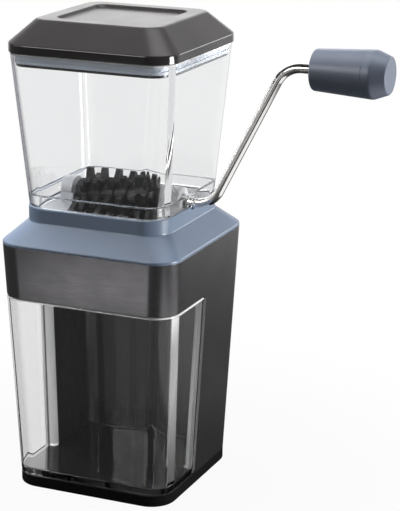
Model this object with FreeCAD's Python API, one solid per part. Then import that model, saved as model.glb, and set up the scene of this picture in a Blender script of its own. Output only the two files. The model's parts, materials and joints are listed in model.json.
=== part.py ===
"""Hand cranked nut grinder, in millimetres.

Origin: centre of the resting face. +Z is up, -Y is the front, where the container slides out,
and +X is the side of the crank. The crank stands straight up at rest.
"""
import FreeCAD
import Part
import math
import os

V = FreeCAD.Vector

# Base
BASE_HALF = 40.8            # half width of the base plate and of the housing's foot
BASE_TOP = 6.3              # top of the base plate above the table
PAD_PROUD = 0.6             # how far the non slip pad stands below the base plate
PAD_THICK = 1.8
PAD_HALF = 29.0
PAD_CORNER = 8.0
PAD_EDGE = 0.4
BASE_EDGE = 0.8             # chamfer round the foot of the base plate

# Housing
HOUSING_RISE = 116.5        # height of the housing above the base plate
HOUSING_TOP_HALF = 46.0
CORNER = 12.3               # outside corner radius of the body
WALL = 2.4
FASCIA = 25.2               # height of the housing's front above the container
WINDOW_BACK_TOP = -1.7      # y of the side opening's rear edge, at its top
WINDOW_BACK_FOOT = -5.2     # the same at the foot
WINDOW_CORNER = 2.4
LIP = 2.1                   # how far the lips and guide ribs stand in from the wall
RIB_Y = (13.0, 25.0)        # the guide ribs on each side wall
RIB_THICK = 1.6
STOP_X = 13.0               # the two rear stops of the container
STOP_RISE = 60.0

# Container
SLIDE_GAP = 0.4             # gap between the container and what guides it
FLOOR_GAP = 0.3
CONTAINER_WALL = 2.2
CONTAINER_FLOOR = 2.6
CONTAINER_BACK_GAP = 6.5    # from the housing's rear wall to the container

# Collar
COLLAR_LIP = 1.3
COLLAR_SLOPE = 9.3
NECK_HALF = 36.8
NECK_CORNER = 12.8
NECK_RISE = 7.1
NECK_EDGE = 0.5
COLLAR_WALL = 2.4
SKIRT_DEPTH = 6.0
SKIRT_GAP = 0.25
SKIRT_WALL = 2.0
LEDGE_THICK = 2.4
LEDGE_HALF = 29.0           # half width of the collar's opening at its ledge
LEDGE_CORNER = 12.0

# Hopper
SEAT_GAP = 0.2              # gap under each piece that lifts off
HOPPER_FOOT_HALF = 36.3
HOPPER_FOOT_CORNER = 12.1
HOPPER_RIM_HALF = 41.9
HOPPER_RIM_CORNER = 10.7
HOPPER_RISE = 73.6          # height of the hopper above the collar
HOPPER_WALL = 2.5
BAND_RISE = 5.5             # the thick band at the hopper's foot
SPIGOT_DEPTH = 4.0
SPIGOT_WALL = 2.0
SPIGOT_GAP = 0.3
ARCH_EYEBROW = 1.6          # width of the raised rim round the arched slot
ARCH_PROUD = 0.8

# Lid
LID_HALF = 43.0
LID_CORNER = 13.0
LID_BAND = 4.0
LID_SLOPE = 10.9
LID_TOP_HALF = 31.9
LID_TOP_CORNER = 8.0
LID_WALL = 2.2
LID_EDGE = 0.9
RECESS_HALF = 24.0
RECESS_CORNER = 5.0
RECESS_DEPTH = 1.8
PLUG_DEPTH = 6.2            # how far the plug reaches below the hopper's rim
PLUG_GAP = 0.6
PLUG_WALL = 2.0
PLUG_LIP = 1.3              # black lip under the seal
PLUG_FLANGE = 1.8
SEAL_HEIGHT = 4.0
SEAL_DEPTH = 1.5
SEAL_GAP = 0.3
SEAL_GROOVE = 1.0
SEAL_GROOVE_DEPTH = 0.5

# Crank
ROD_R = 2.25
SHAFT_RISE = 1.5            # crank axis above the collar's top
BEND_1_X = 46.6
BEND_2_X = 82.0
CRANK_RADIUS = 68.7
BEND_R = 13.0
NOTCH_GAP = 1.1             # gap between the rod and the collar's notch
ARCH_GAP = 0.9              # gap between the rod and the hopper's slot
ROD_CHAMFER = 0.4
ROD_TAIL = 0.6              # length of rod beyond each clip
RUNNING_GAP = 0.05          # radial clearance of each running fit
PRESS_GAP = 0.02            # radial clearance drawn at each pressed seat

# Knob
KNOB_X = 96.0
KNOB_LENGTH = 36.0
KNOB_NEAR_R = 9.6
KNOB_FAR_R = 11.3
KNOB_END_R = 8.6
KNOB_CHAMFER = 7.0          # length of the shoulder at the far end
KNOB_SPLIT = 11.0           # length of the cap
KNOB_EDGE = 1.0             # rounding at the near end
KNOB_END_EDGE = 0.8         # rounding round the flat end
KNOB_SHOULDER_EDGE = 4.0    # rounding where the shoulder starts
KNOB_WALL = 3.0
KNOB_BORE_LENGTH = 16.0
CAP_BORE_GAP = 0.8          # gap between the rod's end and the cap's blind hole

# Rotor and combs
RING_COUNT = 6
RING_PITCH = 6.8
TOOTH_THICK = 2.8
TOOTH_COUNT = 6
TIP_R = 12.2
ROOT_R = 7.4
HUB_R = 6.2
TIP_HALF_ANGLE = 5.5
WAIST_HALF_ANGLE = 10.0     # of a tooth, halfway up its hollow flanks
ROOT_HALF_ANGLE = 21.0
HEX_FLATS = 8.0
END_RING_THICK = 1.0
TINE_GAP = 0.6              # gap between a tine and the teeth on each side of it
TINE_TIP_DROP = 1.2         # top of a tine's tip below the shaft
TINE_NOSE = 0.5             # bevel of the tip
TINE_TIP_DEPTH = 3.2
TINE_RISE = 1.2             # how far a tine's root stands above and below the bar's faces
TINE_HAUNCH = 3.0
TINE_REACH = 6.7            # distance of a tine's tip from the plane through the shaft
COMB_BAR = 4.6
COMB_GAP = 0.2
COMB_DROP = 6.0             # top of the comb's bar below the shaft
COMB_THICK = 4.4
COMB_FRONT = 13.2           # distance of the bar's face from the plane through the shaft

# Mill frame and bearings
FRAME_WALL = 2.0
FRAME_RIM_DROP = 0.3        # the frame's rim below the collar's top
FRAME_RIM = 1.6
FRAME_FLANGE = 2.8
POST_DROP = 1.0             # top of the screw posts below the rim
THROAT_CORNER = 1.5
CHUTE_DROP = 11.2           # the chute's foot below the collar's ledge
SADDLE_LENGTH = 7.0
SADDLE_HALF = 7.0
SADDLE_FLARE = 2.5
BUSH_R = 4.0
BUSH_FLANGE_R = 5.4
BUSH_FLANGE = 1.0
END_PLAY = 0.3
CAP_EDGE = 1.4
CLIP_R = 4.0
CLIP_THICK = 0.8
CLIP_MOUTH = 1.8
GROOVE_DEPTH = 0.5
PIN_R = 1.0

# Screws
SCREW_R = 1.1
SCREW_HEAD_R = 1.85
SCREW_HEAD = 1.5
SCREW_CLEAR = 0.1
SLOT_REACH = 1.2            # half length of the cross slot
SLOT_HALF = 0.3
SLOT_DEPTH = 0.75
HEAD_RECESS = 0.5           # base screw heads above the foot of the base plate
HOLE_SPARE = 0.5            # blind holes are this much deeper than their screws
BOSS_R = 3.0
BASE_BOSS_R = 2.6
BOSS_RISE = 14.0
BOSS_SKIN = 0.8             # material round a front screw's head
BASE_SCREW_BITE = 9.0
REAR_SCREW_X = 31.5
TAB_HALF = 5.0              # half width of a corner tab round its screw
TAB_CORNER = 4.0
TAB_THICK = 3.0
TAB_DROP = 11.0             # top of the housing's corner tabs below its top edge
SCREW_PITCH = 5.7           # from each mill screw out to the collar screw beside it, along X and Y
COLLAR_SCREW_BITE = 8.0
MILL_SCREW_XY = 28.3
MILL_SCREW_BITE = 4.6
COMB_SCREW_X = 19.4
COMB_SCREW_BITE = 3.2

# Heights that follow
HOUSING_TOP = BASE_TOP + HOUSING_RISE
WINDOW_TOP = HOUSING_TOP - FASCIA
SHOULDER = HOUSING_TOP + COLLAR_LIP
NECK_FOOT = SHOULDER + COLLAR_SLOPE
NECK_TOP = NECK_FOOT + NECK_RISE
SHAFT_Z = NECK_TOP + SHAFT_RISE
HOPPER_FOOT = NECK_TOP + SEAT_GAP
HOPPER_RIM = NECK_TOP + HOPPER_RISE
LID_FOOT = HOPPER_RIM + SEAT_GAP
LID_CREASE = LID_FOOT + LID_BAND
LID_TOP = LID_CREASE + LID_SLOPE

# Places that follow
CONTAINER_INSET = WALL + LIP + SLIDE_GAP
CONTAINER_BACK_INSET = WALL + CONTAINER_BACK_GAP
NECK_INSIDE = NECK_HALF - COLLAR_WALL
SPIGOT_HALF = NECK_INSIDE - SPIGOT_GAP
SPIGOT_INSIDE = SPIGOT_HALF - SPIGOT_WALL
ROTOR_HALF = RING_COUNT * RING_PITCH / 2
THROAT_X = ROTOR_HALF + END_RING_THICK + END_PLAY + BUSH_FLANGE
THROAT_Y = COMB_FRONT + COMB_BAR + COMB_GAP
BUSH_END = THROAT_X + SADDLE_LENGTH
COMB_TOP = SHAFT_Z - COMB_DROP
COMB_FOOT = COMB_TOP - COMB_THICK
ROD_END = BUSH_END + END_PLAY + CLIP_THICK + ROD_TAIL
KNOB_END = KNOB_X + KNOB_LENGTH
KNOB_JOINT = KNOB_END - KNOB_SPLIT
KNOB_SHOULDER = KNOB_X + KNOB_BORE_LENGTH
KNOB_Z = SHAFT_Z + CRANK_RADIUS
REACH = 200.0               # longer than anything that is cut
OVER = 1.0                  # how far a cutter runs past the face it opens
LEAST_CORNER = 0.6          # corner radius left inside a thick wall


def rounded(x0, x1, y0, y1, radius, z):
    """Closed wire of a rounded rectangle at height z."""
    bend = radius * (1 - math.sqrt(0.5))
    corners = (
        ((x1, y1 - radius), (x1 - bend, y1 - bend), (x1 - radius, y1)),
        ((x0 + radius, y1), (x0 + bend, y1 - bend), (x0, y1 - radius)),
        ((x0, y0 + radius), (x0 + bend, y0 + bend), (x0 + radius, y0)),
        ((x1 - radius, y0), (x1 - bend, y0 + bend), (x1, y0 + radius)),
    )
    edges = []
    for index, corner in enumerate(corners):
        start, middle, end = (V(x, y, z) for x, y in corner)
        edges.append(Part.Arc(start, middle, end).toShape())
        following = corners[(index + 1) % 4][0]
        edges.append(Part.LineSegment(end, V(following[0], following[1], z)).toShape())
    return Part.Wire(edges)


def square(half, radius, z):
    return rounded(-half, half, -half, half, radius, z)


def loft(*wires):
    return Part.makeLoft(list(wires), True, True)


def prism(wire, height):
    return Part.Face(wire).extrude(V(0, 0, height))


def box(x0, x1, y0, y1, z0, z1):
    return Part.makeBox(x1 - x0, y1 - y0, z1 - z0, V(x0, y0, z0))


def post(radius, x, y, z0, z1):
    return Part.makeCylinder(radius, z1 - z0, V(x, y, z0))


def bar(radius, x0, x1, z=SHAFT_Z):
    """Cylinder along X in the plane of the crank."""
    return Part.makeCylinder(radius, x1 - x0, V(x0, 0, z), V(1, 0, 0))


def slab(points, x0, x1):
    """Polygon of (y, z) points, extruded along X."""
    corners = [V(x0, y, z) for y, z in points]
    return Part.Face(Part.makePolygon(corners + corners[:1])).extrude(V(x1 - x0, 0, 0))


def turned(corners, z):
    """Solid of revolution about the line along X at height z.

    Each corner of its outline is (x, radius), with a third number where the corner is rounded.
    """
    places = [V(corner[0], 0, z + corner[1]) for corner in corners]
    starts, ends, arcs = [], [], []
    for index, corner in enumerate(corners):
        here = places[index]
        back = (places[index - 1] - here).normalize()
        ahead = (places[(index + 1) % len(places)] - here).normalize()
        rounding = corner[2] if len(corner) > 2 else 0
        half = back.getAngle(ahead) / 2
        starts.append(here + back * (rounding / math.tan(half)))
        ends.append(here + ahead * (rounding / math.tan(half)))
        if rounding:
            middle = here + (back + ahead).normalize() * (rounding / math.sin(half) - rounding)
            arcs.append(Part.Arc(starts[-1], middle, ends[-1]).toShape())
    lines = [Part.LineSegment(end, starts[(index + 1) % len(starts)]).toShape()
             for index, end in enumerate(ends)]
    wire = Part.Wire(Part.__sortEdges__(lines + arcs))
    return Part.Face(wire).revolve(V(0, 0, z), V(1, 0, 0), 360)


def hexagon(flats, x0, x1):
    """Hexagonal bar along the shaft."""
    reach = flats / math.sqrt(3)
    angles = [math.radians(60 * side) for side in range(6)]
    return slab([(reach * math.cos(a), SHAFT_Z + reach * math.sin(a)) for a in angles], x0, x1)


def joined(*shapes):
    return shapes[0].multiFuse(list(shapes[1:])).removeSplitter()


def mirrored(shape):
    """The shape and its copy on the other side of the plane x = 0."""
    return [shape, shape.mirror(V(0, 0, 0), V(1, 0, 0))]


def four_corners(x, y):
    return [(sx * x, sy * y) for sx in (1, -1) for sy in (1, -1)]


def edges_at(shape, z):
    """Edges that lie flat at height z."""
    return [e for e in shape.Edges if abs(e.BoundBox.ZMin - z) < 1e-4 and abs(e.BoundBox.ZMax - z) < 1e-4]


def inner_corner(radius):
    """Corner radius of a face set in from another, never quite sharp."""
    return max(radius, LEAST_CORNER)


def screw(x, y, z, bite):
    """Screw driven upwards, its head's face at height z."""
    head = post(SCREW_HEAD_R, x, y, z, z + SCREW_HEAD)
    for dx, dy in ((SLOT_REACH, SLOT_HALF), (SLOT_HALF, SLOT_REACH)):
        head = head.cut(box(x - dx, x + dx, y - dy, y + dy, z - OVER, z + SLOT_DEPTH))
    return head.fuse(post(SCREW_R, x, y, z + SCREW_HEAD, z + SCREW_HEAD + bite)).removeSplitter()


def body_half(z):
    """Half width of the tapered body at height z."""
    return BASE_HALF + (HOUSING_TOP_HALF - BASE_HALF) * (z - BASE_TOP) / HOUSING_RISE


def body(inset, z0, z1):
    """The tapered body between two heights, set in from its outside by inset."""
    return loft(*(square(body_half(z) - inset, inner_corner(CORNER - inset), z) for z in (z0, z1)))


def window_back(z):
    """y of the side opening's rear edge at height z."""
    return WINDOW_BACK_FOOT + (WINDOW_BACK_TOP - WINDOW_BACK_FOOT) * (z - BASE_TOP) / (WINDOW_TOP - BASE_TOP)


def window(offset):
    """The opening below the fascia, grown by offset to the rear and upwards."""
    foot = BASE_TOP - OVER
    top = WINDOW_TOP + offset
    cutter = slab([(-REACH, foot), (window_back(foot) + offset, foot),
                   (window_back(top) + offset, top), (-REACH, top)], -REACH, REACH)
    edge = [e for e in edges_at(cutter, top) if e.BoundBox.YMin > -REACH / 2]
    return cutter.makeFillet(WINDOW_CORNER + min(offset, 0), edge)


def base_screw_places():
    """Front screws in the lips' feet, rear screws in the bosses."""
    front_x = BASE_HALF - WALL - LIP + SCREW_HEAD_R - SCREW_CLEAR
    front_y = window_back(BASE_TOP) + SCREW_HEAD_R + SCREW_CLEAR + BOSS_SKIN
    rear_y = body_half(boss_top()) - CONTAINER_BACK_INSET + SLIDE_GAP + BASE_BOSS_R
    return [(front_x, front_y), (-front_x, front_y), (REAR_SCREW_X, rear_y), (-REAR_SCREW_X, rear_y)]


def boss_top():
    return BASE_TOP + BOSS_RISE


def base_plate():
    plate = prism(square(BASE_HALF, CORNER, PAD_PROUD), BASE_TOP - PAD_PROUD)
    plate = plate.makeChamfer(BASE_EDGE, edges_at(plate, PAD_PROUD))
    plate = plate.cut(prism(square(PAD_HALF + SEAT_GAP, PAD_CORNER + SEAT_GAP, 0), PAD_THICK))
    for x, y in base_screw_places():
        plate = plate.cut(post(SCREW_HEAD_R + SCREW_CLEAR, x, y, 0, base_head_z() + SCREW_HEAD))
        plate = plate.cut(post(SCREW_R + SCREW_CLEAR, x, y, 0, BASE_TOP + OVER))
    return plate


def base_head_z():
    return PAD_PROUD + HEAD_RECESS


def base_screws():
    bite = BASE_TOP - base_head_z() - SCREW_HEAD + BASE_SCREW_BITE
    return [screw(x, y, base_head_z(), bite) for x, y in base_screw_places()]


def non_slip_pad():
    pad = prism(square(PAD_HALF, PAD_CORNER, 0), PAD_THICK)
    return pad.makeChamfer(PAD_EDGE, edges_at(pad, 0))


def mill_screw_places():
    return four_corners(MILL_SCREW_XY, MILL_SCREW_XY)


def collar_screw_places():
    return four_corners(MILL_SCREW_XY + SCREW_PITCH, MILL_SCREW_XY + SCREW_PITCH)


def tab_top():
    return HOUSING_TOP - TAB_DROP


def housing():
    shell = body(0, BASE_TOP, HOUSING_TOP).cut(body(WALL, BASE_TOP - OVER, HOUSING_TOP + OVER))
    shell = shell.cut(window(0))
    liner = body(WALL / 2, BASE_TOP, HOUSING_TOP)
    frame = liner.cut(body(WALL + LIP, BASE_TOP - OVER, HOUSING_TOP + OVER))
    lips = frame.common(window(WALL)).cut(window(0))
    pieces = [shell, lips]
    for y in RIB_Y:
        pieces.append(frame.common(box(-REACH, REACH, y - RIB_THICK / 2, y + RIB_THICK / 2,
                                       BASE_TOP, WINDOW_TOP)))
    hollow = body(CONTAINER_BACK_INSET - SLIDE_GAP, BASE_TOP - OVER, HOUSING_TOP + OVER)
    for x in (-STOP_X, STOP_X):
        pieces.append(liner.cut(hollow).common(box(x - RIB_THICK / 2, x + RIB_THICK / 2, 0, REACH,
                                                   BASE_TOP, BASE_TOP + STOP_RISE)))
    for x, y in base_screw_places():
        pieces.append(screw_boss(x, y).common(liner if y > 0 else frame))
    for x, y in collar_screw_places():
        pieces.append(corner_tab(x, y).common(liner))
    whole = joined(*pieces)
    for x, y in base_screw_places():
        whole = whole.cut(post(SCREW_R + PRESS_GAP, x, y, 0, BASE_TOP + BASE_SCREW_BITE + HOLE_SPARE))
    for x, y in collar_screw_places():
        whole = whole.cut(post(SCREW_R + SCREW_CLEAR, x, y, tab_top() - TAB_THICK - OVER, tab_top() + OVER))
    return whole


def corner_tab(x, y):
    """Ledge that runs from round a collar screw into the housing's corner."""
    x0, x1 = sorted((x - math.copysign(TAB_HALF, x), math.copysign(REACH, x)))
    y0, y1 = sorted((y - math.copysign(TAB_HALF, y), math.copysign(REACH, y)))
    return prism(rounded(x0, x1, y0, y1, TAB_CORNER, tab_top() - TAB_THICK), TAB_THICK)


def screw_boss(x, y):
    """Boss that runs into the wall beside it."""
    top = boss_top()
    if y > 0:
        return joined(post(BASE_BOSS_R, x, y, BASE_TOP, top),
                      box(x - BASE_BOSS_R, x + BASE_BOSS_R, y, REACH, BASE_TOP, top))
    inner = body_half(BASE_TOP) - WALL - LIP
    low, high = sorted((math.copysign(inner, x), math.copysign(REACH, x)))
    return box(low, high, window_back(top), y + SCREW_HEAD_R + BOSS_SKIN, BASE_TOP, top)


def container():
    """Drawer that fills the window in front and narrows where it enters the housing."""
    low = BASE_TOP + FLOOR_GAP
    high = WINDOW_TOP - SLIDE_GAP
    outside = joined(body(0, low, high).common(window(-SLIDE_GAP)), container_tail(low, high, 0))
    low += CONTAINER_FLOOR
    high += OVER
    cavity = body(CONTAINER_WALL, low, high).cut(behind(-SLIDE_GAP - CONTAINER_WALL))
    return outside.cut(joined(cavity, container_tail(low, high, CONTAINER_WALL)))


def container_tail(low, high, inset):
    """The narrow rear of the container, or its cavity where inset is the wall."""
    wires = []
    for z in (low, high):
        half = body_half(z)
        side = half - CONTAINER_INSET - inset
        wires.append(rounded(-side, side, inset - side, half - CONTAINER_BACK_INSET - inset,
                             inner_corner(CORNER - CONTAINER_INSET - inset / 2), z))
    return loft(*wires)


def behind(shift):
    """Everything behind the window's rear edge, moved by shift."""
    low, high = -OVER, HOUSING_TOP
    return slab([(window_back(low) + shift, low), (REACH, low), (REACH, high),
                 (window_back(high) + shift, high)], -REACH, REACH)


def collar():
    outside = joined(
        prism(square(HOUSING_TOP_HALF, CORNER, HOUSING_TOP), COLLAR_LIP),
        loft(square(HOUSING_TOP_HALF, CORNER, SHOULDER), square(NECK_HALF, NECK_CORNER, NECK_FOOT)),
        prism(square(NECK_HALF, NECK_CORNER, NECK_FOOT), NECK_RISE))
    outside = outside.makeFillet(NECK_EDGE, edges_at(outside, NECK_TOP))
    skirt_half = body_half(HOUSING_TOP - SKIRT_DEPTH) - WALL - SKIRT_GAP
    skirt_corner = CORNER - WALL - SKIRT_GAP
    skirt = prism(square(skirt_half, skirt_corner, HOUSING_TOP - SKIRT_DEPTH), SKIRT_DEPTH + COLLAR_LIP)
    ring = joined(outside, skirt)
    ledge_foot = NECK_FOOT - LEDGE_THICK
    slope = (HOUSING_TOP_HALF - NECK_HALF) / COLLAR_SLOPE
    inset = COLLAR_WALL * math.hypot(1, slope)
    top_half = NECK_HALF - inset + slope * LEDGE_THICK
    bottom_half = skirt_half - SKIRT_WALL
    bend_z = ledge_foot - (bottom_half - top_half) / slope
    cavity = joined(
        prism(square(bottom_half, skirt_corner - SKIRT_WALL, HOUSING_TOP - SKIRT_DEPTH - OVER),
              bend_z - HOUSING_TOP + SKIRT_DEPTH + OVER),
        loft(square(bottom_half, skirt_corner - SKIRT_WALL, bend_z),
             square(top_half, NECK_CORNER - COLLAR_WALL, ledge_foot)))
    ring = ring.cut(cavity)
    ring = ring.cut(prism(square(LEDGE_HALF, LEDGE_CORNER, ledge_foot - OVER), REACH))
    ring = ring.cut(prism(square(NECK_INSIDE, NECK_CORNER - COLLAR_WALL, NECK_FOOT), NECK_RISE + OVER))
    ring = ring.cut(bar(ROD_R + NOTCH_GAP, 0, REACH))
    within = outside.fuse(prism(square(skirt_half, skirt_corner, 0), HOUSING_TOP))
    posts = [post(BOSS_R, x, y, tab_top(), ledge_foot).common(within) for x, y in collar_screw_places()]
    ring = joined(ring, *posts)
    for x, y in collar_screw_places():
        ring = ring.cut(post(SCREW_R + PRESS_GAP, x, y, tab_top() - OVER,
                             tab_top() + COLLAR_SCREW_BITE + HOLE_SPARE))
    for x, y in mill_screw_places():
        ring = ring.cut(post(SCREW_R + SCREW_CLEAR, x, y, ledge_foot - OVER, NECK_FOOT + OVER))
    return ring


def collar_screws():
    head = tab_top() - TAB_THICK - SCREW_HEAD
    return [screw(x, y, head, TAB_THICK + COLLAR_SCREW_BITE) for x, y in collar_screw_places()]


def mill_frame():
    rim_z = NECK_TOP - FRAME_RIM_DROP
    rim_half = SPIGOT_INSIDE - SPIGOT_GAP
    rim_corner = NECK_CORNER - COLLAR_WALL - SPIGOT_WALL
    outer = (THROAT_X + FRAME_WALL, THROAT_Y + FRAME_WALL)
    foot = NECK_FOOT - CHUTE_DROP
    flange = prism(square(NECK_INSIDE - SPIGOT_GAP, NECK_CORNER - COLLAR_WALL, NECK_FOOT), FRAME_FLANGE)
    funnel = loft(square(rim_half, rim_corner, rim_z), throat_wire(outer, NECK_FOOT))
    chute = prism(throat_wire(outer, foot), COMB_TOP - foot)
    post_top = rim_z - POST_DROP
    inside_rim = prism(square(rim_half, rim_corner, NECK_FOOT), post_top - NECK_FOOT)
    posts = [post(BOSS_R, x, y, NECK_FOOT, post_top).common(inside_rim) for x, y in mill_screw_places()]
    frame = joined(flange, funnel, chute, *posts)
    throat = (THROAT_X, THROAT_Y)
    frame = frame.cut(loft(square(rim_half - FRAME_RIM, rim_corner - FRAME_RIM, rim_z),
                           throat_wire(throat, COMB_TOP)))
    frame = frame.cut(prism(throat_wire(throat, COMB_FOOT), REACH))
    frame = frame.cut(prism(throat_wire((THROAT_X, COMB_FRONT + COMB_GAP), foot - OVER), REACH))
    frame = frame.cut(prism(throat_wire(throat, foot - OVER), COMB_FOOT - FRAME_WALL - foot + OVER))
    for x, y in mill_screw_places():
        frame = frame.cut(post(SCREW_R + PRESS_GAP, x, y, NECK_FOOT - OVER,
                               NECK_FOOT + MILL_SCREW_BITE + HOLE_SPARE))
    for x, y in four_corners(COMB_SCREW_X, comb_screw_y()):
        frame = frame.cut(post(SCREW_R + SCREW_CLEAR, x, y, COMB_FOOT - FRAME_WALL - OVER, COMB_FOOT + OVER))
    frame = joined(frame, *mirrored(saddle())).cut(bar(BUSH_R + PRESS_GAP, -BUSH_END, BUSH_END))
    for notch in mirrored(bar(CLIP_R + END_PLAY, BUSH_END, REACH)):
        frame = frame.cut(notch)
    return frame


def throat_wire(half, z):
    return rounded(-half[0], half[0], -half[1], half[1], THROAT_CORNER, z)


def saddle():
    """Block under a shaft bush, flared towards its foot."""
    foot = NECK_FOOT + FRAME_FLANGE / 2
    low = SADDLE_HALF + SADDLE_FLARE
    return slab([(-low, foot), (low, foot), (SADDLE_HALF, SHAFT_Z), (-SADDLE_HALF, SHAFT_Z)],
                THROAT_X, BUSH_END)


def bearing_cap():
    """Rounded cap over a shaft bush, bevelled at its ends so that nothing catches on it."""
    cap = bar(SADDLE_HALF, THROAT_X, BUSH_END)
    ring = [e for e in cap.Edges if abs(e.BoundBox.XMax - THROAT_X) < 1e-4]
    cap = cap.makeChamfer(CAP_EDGE, ring)
    cap = cap.cut(box(0, REACH, -REACH, REACH, 0, SHAFT_Z))
    return cap.cut(bar(BUSH_R + PRESS_GAP, 0, REACH))


def shaft_bush():
    bush = bar(BUSH_R, THROAT_X, BUSH_END).fuse(bar(BUSH_FLANGE_R, THROAT_X - BUSH_FLANGE, THROAT_X))
    return bush.cut(bar(ROD_R + RUNNING_GAP, 0, REACH)).removeSplitter()


def mill_screws():
    head = NECK_FOOT - LEDGE_THICK - SCREW_HEAD
    return [screw(x, y, head, LEDGE_THICK + MILL_SCREW_BITE) for x, y in mill_screw_places()]


def comb_screw_y():
    return COMB_FRONT + COMB_BAR / 2


def comb_screws():
    head = COMB_FOOT - FRAME_WALL - SCREW_HEAD
    return [screw(x, y, head, FRAME_WALL + COMB_SCREW_BITE)
            for x, y in four_corners(COMB_SCREW_X, comb_screw_y())]


def comb(side, step):
    """Comb on one side of the shaft, with a tine in every step-th gap between the rings."""
    back = COMB_FRONT + COMB_BAR
    length = THROAT_X - COMB_GAP
    near, far = sorted((side * COMB_FRONT, side * back))
    tines = [prism(rounded(-length, length, near, far, THROAT_CORNER, COMB_FOOT), COMB_THICK)]
    thick = RING_PITCH - TOOTH_THICK - 2 * TINE_GAP
    for index in range(0, RING_COUNT + 1, step):
        x = index * RING_PITCH - ROTOR_HALF
        tines.append(slab(tine_points(side), x - thick / 2, x + thick / 2))
    piece = joined(*tines)
    for x in (-COMB_SCREW_X, COMB_SCREW_X):
        piece = piece.cut(post(SCREW_R + PRESS_GAP, x, side * comb_screw_y(),
                               COMB_FOOT - OVER, COMB_FOOT + COMB_SCREW_BITE + HOLE_SPARE))
    return piece


def tine_points(side):
    """Finger that rises from the bar towards the rotor's hub."""
    back = COMB_FRONT + COMB_BAR
    tip_z = SHAFT_Z - TINE_TIP_DROP
    points = [(back, COMB_TOP - TINE_NOSE), (COMB_FRONT, COMB_TOP + TINE_RISE),
              (TINE_REACH + TINE_NOSE, tip_z), (TINE_REACH, tip_z - 2 * TINE_NOSE),
              (TINE_REACH + TINE_NOSE, tip_z - TINE_TIP_DEPTH),
              (COMB_FRONT - TINE_HAUNCH, COMB_FOOT + TINE_RISE), (COMB_FRONT, COMB_FOOT), (back, COMB_FOOT)]
    return [(side * y, z) for y, z in points]


def crank_rod():
    """Round rod with two bends, in the plane y = 0, with a groove for each clip."""
    angle = math.atan2(CRANK_RADIUS, BEND_2_X - BEND_1_X)
    tangent = BEND_R * math.tan(angle / 2)
    along = V(math.cos(angle), 0, math.sin(angle))
    bend_1 = V(BEND_1_X - tangent, 0, SHAFT_Z)
    bend_2 = V(BEND_2_X + tangent, 0, KNOB_Z)
    arm = V(BEND_1_X, 0, SHAFT_Z) + along * tangent
    arm_length = math.hypot(CRANK_RADIUS, BEND_2_X - BEND_1_X) - 2 * tangent
    section = Part.Face(Part.Wire(Part.makeCircle(ROD_R, V(0, 0, 0), V(1, 0, 0))))
    lower = section.translated(bend_1).revolve(bend_1 + V(0, 0, BEND_R), V(0, -1, 0), math.degrees(angle))
    upper = section.translated(bend_2).revolve(bend_2 - V(0, 0, BEND_R), V(0, -1, 0), math.degrees(angle))
    rod = joined(bar(ROD_R, -ROD_END, bend_1.x), lower, Part.makeCylinder(ROD_R, arm_length, arm, along),
                 upper, bar(ROD_R, bend_2.x, knob_rod_end(), KNOB_Z))
    ends = [e for e in rod.Edges if e.BoundBox.XMax < -ROD_END + 1e-3]
    rod = rod.makeChamfer(ROD_CHAMFER, ends)
    rod = rod.cut(groove(-BUSH_END - END_PLAY - CLIP_THICK, SHAFT_Z))
    rod = rod.cut(groove(knob_clip_x(), KNOB_Z))
    return rod.cut(pin(PIN_R))


def groove(x, z):
    """Ring that a clip's groove takes out of the rod."""
    return bar(ROD_R + OVER, x, x + CLIP_THICK, z).cut(groove_floor(x, z))


def groove_floor(x, z):
    return bar(ROD_R - GROOVE_DEPTH, x - OVER, x + CLIP_THICK + OVER, z)


def clip(x, z):
    """Open retaining ring in its groove."""
    ring = bar(CLIP_R, x, x + CLIP_THICK, z).cut(groove_floor(x, z))
    mouth = CLIP_MOUTH / 2
    return ring.cut(box(x - OVER, x + CLIP_THICK + OVER, -mouth, mouth, z - REACH, z))


def knob_clip_x():
    return KNOB_SHOULDER + END_PLAY


def knob_rod_end():
    return knob_clip_x() + CLIP_THICK + ROD_TAIL


def pin(radius):
    """Cross pin through the rotor sleeve and the rod, in the middle of the rotor."""
    reach = HEX_FLATS / 2
    return Part.makeCylinder(radius, 2 * reach, V(0, -reach, SHAFT_Z), V(0, 1, 0))


def rotor_sleeve():
    sleeve = hexagon(HEX_FLATS, -ROTOR_HALF, ROTOR_HALF + END_RING_THICK)
    sleeve = sleeve.fuse(bar(HUB_R, -ROTOR_HALF - END_RING_THICK, -ROTOR_HALF))
    sleeve = sleeve.cut(bar(ROD_R + PRESS_GAP, -REACH, REACH))
    return sleeve.cut(pin(PIN_R)).removeSplitter()


def rotor_end_ring():
    ring = bar(HUB_R, ROTOR_HALF, ROTOR_HALF + END_RING_THICK)
    return ring.cut(hexagon(HEX_FLATS + 2 * PRESS_GAP, 0, REACH))


def rotor_ring(index):
    """Toothed ring with its hub, turned a step further than the ring before it."""
    x = (index + 0.5) * RING_PITCH - ROTOR_HALF
    turn = index * 360 / TOOTH_COUNT / RING_COUNT
    edges = []
    for tooth in range(TOOTH_COUNT):
        edges += tooth_edges(x - TOOTH_THICK / 2, turn + tooth * 360 / TOOTH_COUNT)
    star = Part.Face(Part.Wire(edges)).extrude(V(TOOTH_THICK, 0, 0))
    ring = star.fuse(bar(HUB_R, x - RING_PITCH / 2, x + RING_PITCH / 2))
    return ring.cut(hexagon(HEX_FLATS + 2 * PRESS_GAP, -REACH, REACH)).removeSplitter()


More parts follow.
